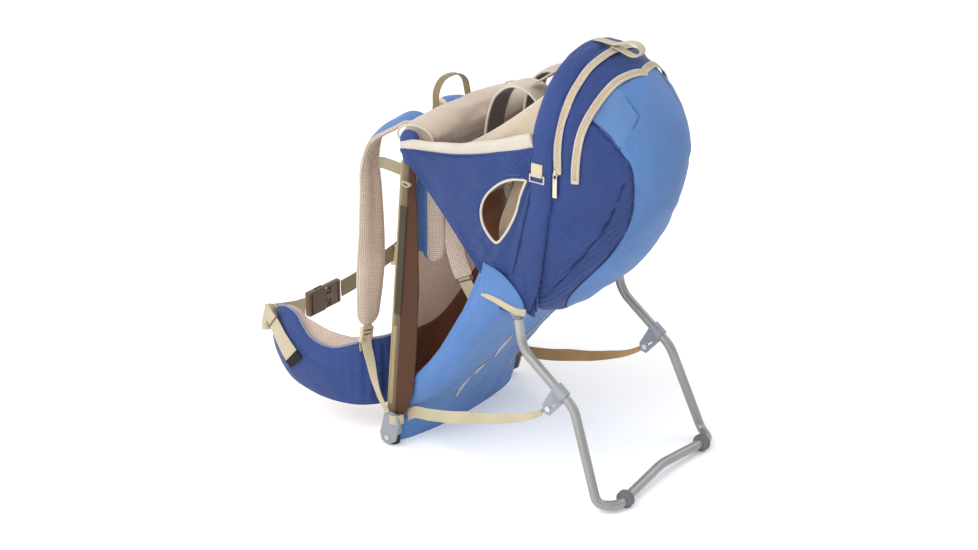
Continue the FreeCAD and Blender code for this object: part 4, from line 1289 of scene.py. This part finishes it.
def build_post_sleeve(word, side):
    """Brown cloth sleeve round the post with a tan front binding and a ribbed grey strip."""
    z = np.linspace(66, 548, 100)
    line = beside_post(z, 0, 174, side)
    upper = [(-12.2, 0), (-10.5, 6), (-5.5, 10.6), (0, 11.8), (6, 10.8), (12, 8.2), (20, 4.5), (28, 1.6),
             (30, 0)]
    shape = upper + [(a, -b) for a, b in upper[-2:0:-1]]
    tail = np.interp(z, [66, 110, 200, 330, 400, 500, 548], [0.7, 1.25, 1.35, 1.2, 0.9, 0.4, 0.3])
    section = np.repeat(np.array(shape)[None], len(z), axis=0)
    stretch = np.where(section[..., 0] > 6, tail[:, None], 1.0)
    section[..., 0] = np.where(section[..., 0] > 6, 6 + (section[..., 0] - 6) * stretch, section[..., 0])
    section[..., 1] += 0.6 * ripple(z[:, None], section[..., 0] * 2, 70, 13)
    sweep(f"post_sleeve_{word}", line, section, [1, 0, 0], [sleeve_mesh, tail_cloth],
          section_mats=[int(a > 10) for a, b in shape])
    sweep(f"post_binding_{word}", beside_post(z, -12.6, 175.5, side), circle(0.5, 12) * [11.0, 6.0],
          [0.5, 1, 0], [tan_bind])
    strip = beside_post(np.linspace(262, 470, 60), 0.5, 186.4, side)
    webbing(f"post_strip_{word}", strip, 14, 1.8, [1, 0, 0], grey_web)
    strip = beside_post(np.linspace(84, 240, 40), -3, 186, side)
    webbing(f"post_lower_strip_{word}", strip, 7, 1.6, [1, 0, 0], tan_bind)
    ring = turns(29)
    x = POST_LEAN * 512 + 4 + 8 * np.cos(ring) + 1.5 * np.sin(2 * ring)
    z = 512 + 3.6 * np.sin(ring) - 1.5 * np.cos(ring)
    loop = mirror(combine(x, -187.5, z), side)
    sweep(f"post_loop_{word}", loop, circle(0.5, 8) * [9.0, 2.0], [0, 1, 0], [cream_web], loop=True)


each_side(build_post_sleeve)


# ---- shoulder straps ---------------------------------------------------------------------------
STRAP_TOP = (-93.0, 622.0)
STRAP_SLOPE = 0.235
STRAP_LEAN = math.atan(STRAP_SLOPE)


def splay(points):
    """Lean points of the left strap outward about its top, as the CAD straps are."""
    out = np.array(points, float)
    dy, dz = out[..., 1] - STRAP_TOP[0], out[..., 2] - STRAP_TOP[1]
    out[..., 1] = STRAP_TOP[0] + dy * math.cos(STRAP_LEAN) + dz * math.sin(STRAP_LEAN)
    out[..., 2] = STRAP_TOP[1] - dy * math.sin(STRAP_LEAN) + dz * math.cos(STRAP_LEAN)
    return out


def down_strap(z):
    """Height before the strap is leaned outward, for a height after it."""
    return STRAP_TOP[1] - (STRAP_TOP[1] - z) * math.hypot(1, STRAP_SLOPE)


STRAP_PATH = [(-14, -50, 566), (-22, -55, 577), (-36, -62, 580), (-58, -80, 568), (-84, -97, 546),
              (-90, -112, 508), (-79, -127, 450), (-64, -146, 380), (-52, -168, 300), (-45, -186, 226)]
STRAP_ACROSS = [(-0.50, 0.86, 0.0), (-0.45, 0.88, 0.05), (-0.25, 0.95, 0.1), (0.05, 1, 0.0),
                (0.20, 0.97, -0.1), (0.30, 0.94, -0.15), (0.32, 0.93, -0.18), (0.28, 0.94, -0.2),
                (0.15, 0.96, -0.22), (0.03, 0.97, -0.23)]


def build_strap(word, side):
    """Shoulder strap: a hollowed, piped pad with its end tab and load lifter."""
    line = smooth(STRAP_PATH, 150)
    across = unit(smooth([np.array(row) * 100 for row in STRAP_ACROSS], 150))
    at = lengths(line)
    total = at[-1]
    section = pad_section(1.0, 1.0, edge=0.30, count=21, power=3.2)
    end = np.sqrt(np.clip(1 - ((at - (total - 22)) / 22).clip(0) ** 2, 0.05, 1))
    width = 55 * end * np.interp(at, [0, 60, total - 60, total], [0.86, 1.0, 0.98, 0.92])
    thick = 14.0 * np.interp(at, [0, 30, total - 25, total - 6, total], [0.75, 1, 1, 0.8, 0.35])
    quilt = 1 - 0.05 * np.exp(-((at % 118 - 59) / 4) ** 2)
    sections = section[None] * combine(width, thick * quilt)[:, None]
    hollow = np.exp(-((sections[..., 0] - 0.12 * width[:, None]) / (0.22 * width[:, None])) ** 2)
    upper = np.interp(at, [0, 60, 200, 300], [0.3, 1, 1, 0.25])[:, None]
    sections[..., 1] -= 4.2 * hollow * upper * (section[None, :, 1] > 0.2)
    crown = np.abs(section[None, :, 1]) > 0.2
    sections[..., 1] += 0.35 * ripple(at[:, None], sections[..., 0], 50, 14) * crown
    half = len(section) // 2
    mats = [int(half + 2 < j < 2 * half - 4) for j in range(len(section))]
    strap = sweep(f"shoulder_pad_{word}", mirror(line, side), sections, mirror(across, side) * -side,
                  [strap_mesh, light_cloth], section_mats=mats)
    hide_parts(f"shoulder_strap_{word}")
    for number, step in enumerate((-1, 1)):
        edge = line + across * (step * (width / 2 + 0.4))[:, None]
        piping(f"shoulder_piping_{word}_{number}", mirror(edge, side), 2.0, taupe_pipe)
    tab = [(x, STRAP_TOP[0], down_strap(z)) for x, z in ((-44.5, 242), (-44.2, 230), (-44.8, 221),
                                                         (-46.5, 215))]
    webbing(f"strap_end_tab_{word}", mirror(splay(smooth(tab, 16)), side), 24, 2.6, [0, 1, 0], strap_mesh)
    lifter = side_line([(-73, -114, 503), (-52, -128, 512), (-20, -150, 522), (10, -166, 528),
                        (32, -176, 531)], side, 40)
    webbing(f"load_lifter_{word}", lifter, 20, 2.2, [0, 0.3, 1.0], olive_web)


each_side(build_strap)


def build_strap_webbing(word, side):
    """Webbing from the ladder lock down to the foot bracket, narrowing as it twists."""
    route = smooth([(-43, -192, 207), (-42, -192.5, 190), (-34, -193, 158), (-24, -194.5, 122),
                    (-10, -196, 92), (6, -196.5, 70)], 60)
    share = np.linspace(0, 1, 60)
    twist = np.radians(62) * ease((share - 0.1) / 0.8)
    across = combine(0.25 + np.sin(twist) * 0.9, np.cos(twist), 0.2)
    narrow = np.interp(share, [0, 0.25, 0.7, 1], [1.0, 0.9, 0.45, 0.36])
    section = strap_section(21, 1.9)[None] * combine(narrow, 1 + 0.6 * (1 - narrow))[:, None]
    strap = sweep(f"strap_webbing_{word}", mirror(route, side), section, mirror(across, side),
                  [cream_web], body=None)
    tuple(place(mirror(route[24], side)))
    tuple(place(mirror(route[2], side)))
    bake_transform(strap)
    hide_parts(f"shoulder_webbing_{word}")
    tail = side_line([(-49.5, -190, 212), (-51, -190, 198), (-52, -191, 186), (-50, -192, 176)], side, 24)
    webbing(f"strap_tail_{word}", tail, 20, 1.8, [0, 1, 0], cream_web, body=f"lock_{word}")


each_side(build_strap_webbing)


# ---- hip belt ----------------------------------------------------------------------------------
HIP_PLAN = [(-26, -108), (-35, -145), (-60, -182), (-105, -209), (-160, -219), (-215, -214), (-256, -194),
            (-272, -170)]
HIP_LOW = [(0, 66), (40, 62), (90, 63), (138, 69), (186, 79), (230, 92), (258, 107), (284, 127), (303, 152)]
HIP_HIGH = [(0, 190), (40, 190), (76, 188), (105, 180), (136, 172), (160, 175), (184, 186), (200, 206),
            (212, 222), (236, 228), (262, 220), (287, 200), (303, 168)]


BELT_ROUTE = {LEFT: [(-262, -196, 196), (-275, -196, 189), (-283, -178, 182), (-282, -150, 175),
                     (-280, -118, 168), (-279, -88, 164)],
              RIGHT: [(-262, -196, 196), (-275, -194, 189), (-282, -160, 180), (-281, -110, 170),
                      (-279.5, -50, 164), (-279, -17, 163)]}


def build_wing(word, side):
    """Belt wing: dark cloth outside, mesh inside, with a crowned edge and a quilting line.

    Gives back a function for points on its outer face.
    """
    plan = smooth(HIP_PLAN, 400)
    s_plan = lengths(plan)
    reach = 303.0
    scale = s_plan[-1] / 318.0
    s = np.concatenate([np.linspace(0, 250, 70, endpoint=False), np.linspace(250, reach, 30)])
    low = np.interp(s, *smooth(HIP_LOW, 120).T)
    high = np.interp(s, *smooth(HIP_HIGH, 160).T)
    v = (np.sin(np.linspace(-1, 1, 44) * np.pi / 2) + 1) / 2
    base = np.stack([np.interp(s * scale, s_plan, plan[:, k]) for k in (0, 1)], axis=-1)
    ahead = tangents(np.column_stack([base, 0 * s]))
    out = combine(-ahead[:, 1], ahead[:, 0])
    z = low[:, None] + (high - low)[:, None] * v[None]
    edge_z = np.minimum(z - low[:, None], high[:, None] - z)
    edge = np.minimum(edge_z, (reach - s)[:, None] * 0.9 + 0.5)
    thick = 3.0 + 9.5 * (1 - np.exp(-edge / 6.5))
    stitch = np.interp(s, [0, 60, 101, 155, 187, 210], [124, 124, 126, 131, 147, 168])
    line = np.exp(-((z - stitch[:, None]) / 3.0) ** 2) * (s < 212)[:, None]
    relief = 0.9 * ripple(s[:, None], z, 75, 15) + 0.5 * ripple(s[:, None] * 1.4, z, 33, 16)
    relief += 1.6 * np.exp(-((s[:, None] - 62) / 40) ** 2) * np.sin(s[:, None] * 2 * np.pi / 17)
    shift = (relief - 2.4 * line) * (1 - np.exp(-edge / 8))
    xy = base[:, None] + out[:, None] * (0.9 * np.sin(np.pi * v)[None] * 3)[..., None]
    outer, inner = (mirror(np.concatenate([xy + out[:, None] * away[..., None], z[..., None]], axis=-1),
                           side) for away in (thick / 2 + shift, -(thick / 2 + 0.3 * shift)))
    flat = combine(s[:, None], z) / 1000
    wing = shell(f"belt_wing_{word}", outer, inner, flat, [wing_cloth, wing_mesh])
    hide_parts(f"hip_wing_{word}")
    middle = (outer + inner) / 2
    piping(f"wing_piping_{word}", middle[:, -1] + [0, 0, 0.6], 2.2, pale_pipe)
    piping(f"wing_binding_{word}", middle[:, 0] - [0, 0, 0.4], 2.3, dark_cloth)
    nearest = np.argmin(np.abs(z - stitch[:, None]), axis=1)
    quilt = outer[np.arange(len(s)), nearest][s < 208]
    stitches(f"wing_stitch_{word}", smooth(quilt, 60), mirror([-0.3, -1.0, 0.0], side), dark_thread)
    build_wing_liner(word, side, s, base, out, low, high)

    def face(at, up, lift):
        """A point lifted off the wing's outer face, a distance at along it and up from the ground."""
        xy = [np.interp(at, s, base[:, k]) + np.interp(at, s, out[:, k]) * (9.4 + lift) for k in (0, 1)]
        return mirror([*xy, up], side)

    return face


def build_wing_liner(word, side, s, base, out, low, high):
    """Inner mesh padding, standing a little above the outer shell along its middle."""
    keep = (s > 6) & (s < 296)
    s, base, out, low, high = s[keep], base[keep], out[keep], low[keep], high[keep]
    lip = np.maximum(high - 3, np.interp(s, [0, 60, 99, 130, 166, 200, 218],
                                         [184, 186, 188, 193, 201, 211, 212]))
    depth = np.interp(s, [6, 40, 90, 190, 240, 296], [9, 11, 17, 18, 12, 7])
    rows = []
    for t in np.linspace(0, 1, 30):
        if t < 0.3:
            share = t / 0.3
            d = 1 + (depth - 1) * np.sin(share * np.pi / 2)
            z = high - 1.5 + (lip - high + 1.5) * (1 - np.cos(share * np.pi / 2))
        else:
            share = (t - 0.3) / 0.7
            d = depth + 3.2 * np.sin(np.pi * share) - (depth - 7.5) * share ** 2
            z = lip + (low + 5 - lip) * share
        groove = 1.8 * np.exp(-((s - 150) / 5) ** 2) + 1.8 * np.exp(-((s - 74) / 5) ** 2)
        d = d - groove * np.sin(np.pi * t)
        xy = base - out * d[:, None]
        rows.append(np.column_stack([xy, z]))
    cloth(f"wing_liner_{word}", rows, 2.2, [wing_mesh], "stretched", [f"belt_wing_{word}"], side)


WING_FACE = {word: build_wing(word, side) for word, side in SIDES.items()}


def build_belt_straps(word, side):
    """Belt webbing: a tail with an end tag on the wing's face, a slider and loops at its tip."""
    face = WING_FACE[word]
    tail = [face(at, up, lift) for at, up, lift in ((214, 138, 2.4), (228, 153, 3.0), (244, 170, 3.2),
                                                    (260, 187, 4.2), (272, 200, 8.0), (281, 208, 13))]
    away = unit(np.array([face(at, 150, 9) - face(at, 150, 0) for at in np.linspace(214, 281, 50)]))
    tail = smooth(tail, 50)
    across = np.cross(tangents(tail), away)
    webbing(f"belt_tail_{word}", tail, 41, 2.0, across, cream_web)
    tag = [face(at, up, lift) for at, up, lift in ((206, 129.5, 2.6), (212, 136, 3.0), (217, 141, 3.4))]
    webbing(f"belt_tail_tag_{word}", smooth(tag, 12), 42, 3.4, across[0], black_tag)
    line = side_line(BELT_ROUTE[side], side, 70)
    look = cream_web if side == LEFT else olive_web
    strap = webbing(f"belt_webbing_{word}", line, 34, 2.0, [0.0, 0.15 * -side, 1.0], look)
    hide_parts(f"hip_webbing_{word}")
    for number, (depth, drop) in enumerate(((0, 0), (5, -14))):
        ring = np.linspace(0.25, 2 * np.pi - 0.25, 36)
        x = -274 - (9 + depth) * np.cos(ring) * 0.9 - depth
        y = -190 - 10 * np.sin(ring)
        loop = mirror(combine(x, y, 186 + drop - 3 * np.cos(ring)), side)
        webbing(f"belt_loop_{word}_{number}", loop, 30, 2.0, [0.1, 0.1, 1.0], cream_web)
    frame_at, wide = face(268, 196, 5.2), across[36]
    ahead = unit(face(276, 204, 5) - face(258, 186, 5))
    slider(f"belt_slider_{word}", frame_at, wide, ahead, 24, 7, 10, 2.0)
    middle = np.array([frame_at + wide * a for a in np.linspace(-23, 23, 8)])
    sweep(f"belt_slider_bar_{word}", middle, circle(1.9, 10), np.cross(wide, ahead), [buckle_plastic])


each_side(build_belt_straps)


def build_lumbar():
    """Lumbar cushion: mesh towards the wearer, dark cloth behind and at its ends."""
    rings = []
    for y in np.linspace(-103, 103, 26):
        end = 1 - (abs(y) / 106) ** 10
        section = pad_section(138 * (0.94 + 0.06 * end), 22 * (0.6 + 0.4 * end), edge=6, count=12, power=5)
        rings.append([(-25 + b, y, 143 + a) for a, b in section])

    def channels(points):
        x, y, z = points.T
        groove = sum(np.exp(-((np.abs(y) - at) / 4.0) ** 2) for at in (38, 76))
        return combine(-2.2 * groove * np.sign(-25 - x), 0, 0)

    pad = puffed("lumbar_cushion", rings, [object_mesh, dark_cloth], 0.0055, 0.005, channels, "lumbar_pad")
    centres = np.zeros(len(pad.data.polygons) * 3)
    pad.data.polygons.foreach_get("center", centres)
    spots = centres.reshape(-1, 3)
    rear = (spots[:, 0] > place([-22, 0, 0])[0]) | (np.abs(spots[:, 1]) > 0.088)
    pad.data.polygons.foreach_set("material_index", rear.astype(np.int32))


build_lumbar()


# ---- kickstand straps, handle, hanging loop ----------------------------------------------------
def build_kick_strap(word, side):
    """Webbing from the foot bracket to the kickstand's lug, narrowing as it turns on edge."""
    route = side_line([(24, -164, 57), (34, -162, 64), (73, -160, 71), (118, -159, 80),
                       (162, -158.5, 92), (206, -158, 103), (248, -157.5, 117), (282, -157.5, 130),
                       (302, -158, 141), (314, -158.5, 149)], side, 90)
    share = np.linspace(0, 1, 90)
    width = np.interp(share, [0, 0.08, 0.45, 0.75, 0.92, 1], [20, 24, 24, 17, 13, 12])
    thicken = 1 + 0.5 * ease((share - 0.6) / 0.4)
    section = strap_section(24, 2.0)[None] * combine(width / 24, thicken)[:, None]
    route = route - UP * np.sin(np.pi * share)[:, None]
    lean = combine(0, -side * 0.9 * ease((share - 0.72) / 0.3), 1)
    # The right strap takes the cream webbing with painted shade.
    strap = sweep(f"kickstand_web_{word}", route, section, lean,
                  [cream_web if side == LEFT else far_strap_painted_shade_web], body=None)
    tuple(place(route[4]))
    tuple(place(route[-3]))
    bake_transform(strap)
    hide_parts(f"kickstand_strap_{word}")
    wrap = np.linspace(0.3, 2 * np.pi - 0.3, 30)
    loop = mirror(combine(13 + 15 * np.cos(wrap), -172 - 22 * np.sin(wrap), 56), side)
    webbing(f"bracket_web_{word}", loop, 18, 1.8, [0, 0, 1], cream_web)


each_side(build_kick_strap)


def build_handles():
    """Carry handle over the bolster and the hanging loop behind the hoop's top."""
    route = smooth([(5, -45, 592), (5, -47, 610), (5, -46, 627), (5, -30, 645), (5, -4, 651), (5, 20, 646),
                    (5, 40, 629), (5, 46, 612), (5, 50, 592)], 90)
    wave = combine(1.2 * np.sin(lengths(route) / 14), 0, 0)
    handle = webbing("carry_handle", route + wave, 14, 2.4, [1, 0, 0], olive_web)
    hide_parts("grab_handle")
    loop = smooth([(304, 0, 766.5), (318, 0, 767), (332, 0, 766), (345, 0, 766), (358, 0, 770),
                   (376, 0, 774), (390, 0, 771), (396, 0, 763), (391, 0, 755), (378, 0, 752),
                   (364, 0, 755), (350, 0, 759), (338, 0, 761)], 90)
    sway = 3.0 * np.sin(np.linspace(0, 1, 90) * np.pi)[:, None] * [0, 1.0, 0]
    hang = webbing("hanging_loop", loop - sway, 17, 2.4, [0, 1, 0], cream_web)
    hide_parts("hang_loop")


build_handles()


# ---- camera, light and floor -------------------------------------------------------------------
EYE = np.array([2.0471, -2.6745, 1.7114])  # metres from the post foot
EYE_BACK = (0.54352, -0.74116, 0.39404)    # from what the camera looks at, back to the camera
LAMPS = (("key", (0.1, -2.2, 2.6), 2.4, 62), ("fill", (-2.4, -0.6, 1.6), 2.0, 22),
         ("back", (1.4, 2.2, 2.4), 2.2, 26), ("side", (0.3, -2.3, 0.5), 1.6, 9))  # name, place, size, watts
LIT_POINT = (0.05, 0, 0.35)


def build_stage():
    """Camera, studio light, a faint glow inside the carrier, and the floor."""
    scene = bpy.context.scene
    scene.view_settings.view_transform = "Standard"

    def put(name, data, location, facing=None, axis="Z"):
        """Link a new object; its given axis points along facing."""
        holder = bpy.data.objects.new(name, data)
        holder.location = location
        if facing:
            holder.rotation_euler = Vector(facing).to_track_quat(axis, "Y").to_euler()
        scene.collection.objects.link(holder)
        return holder

    camera = bpy.data.cameras.new("camera")
    camera.lens = 74.04
    camera.sensor_width = 36
    scene.camera = put("camera", camera, EYE + ORIGIN, EYE_BACK)

    world = bpy.data.worlds.new("studio")
    world.use_nodes = True
    sky = world.node_tree.nodes["Background"].inputs
    sky[0].default_value = (1, 1, 1, 1)
    sky[1].default_value = 0.75
    scene.world = world
    for name, location, size, power in LAMPS:
        lamp = bpy.data.lights.new(name, "AREA")
        lamp.size = size
        lamp.energy = power
        put(name, lamp, location, Vector(LIT_POINT) - Vector(location), "-Z")

    glow = bpy.data.lights.new("glow", "POINT")
    glow.energy = 0.35
    glow.shadow_soft_size = 0.06
    put("glow", glow, place([150, -50, 330]))

    mesh = bpy.data.meshes.new("floor")
    mesh.from_pydata([(-7, -7, 0), (7, -7, 0), (7, 7, 0), (-7, 7, 0)], [], [(0, 1, 2, 3)])
    pale = Nodes("pale_floor", 0.9, specular=0.1)
    tone = pale.mix(pale.range(pale.noise(3.0, 2.0), 0.3, 0.7), (0.93, 0.93, 0.93), (0.96, 0.96, 0.96))
    pale.fill(pale.shader, {"Emission Color": (1.0, 1.0, 1.0), "Emission Strength": 0.12})
    mesh.materials.append(pale.finish(tone, pale.noise(300.0, 2.0), 0.0001))
    put("floor", mesh, (0, 0, 0))


build_stage()
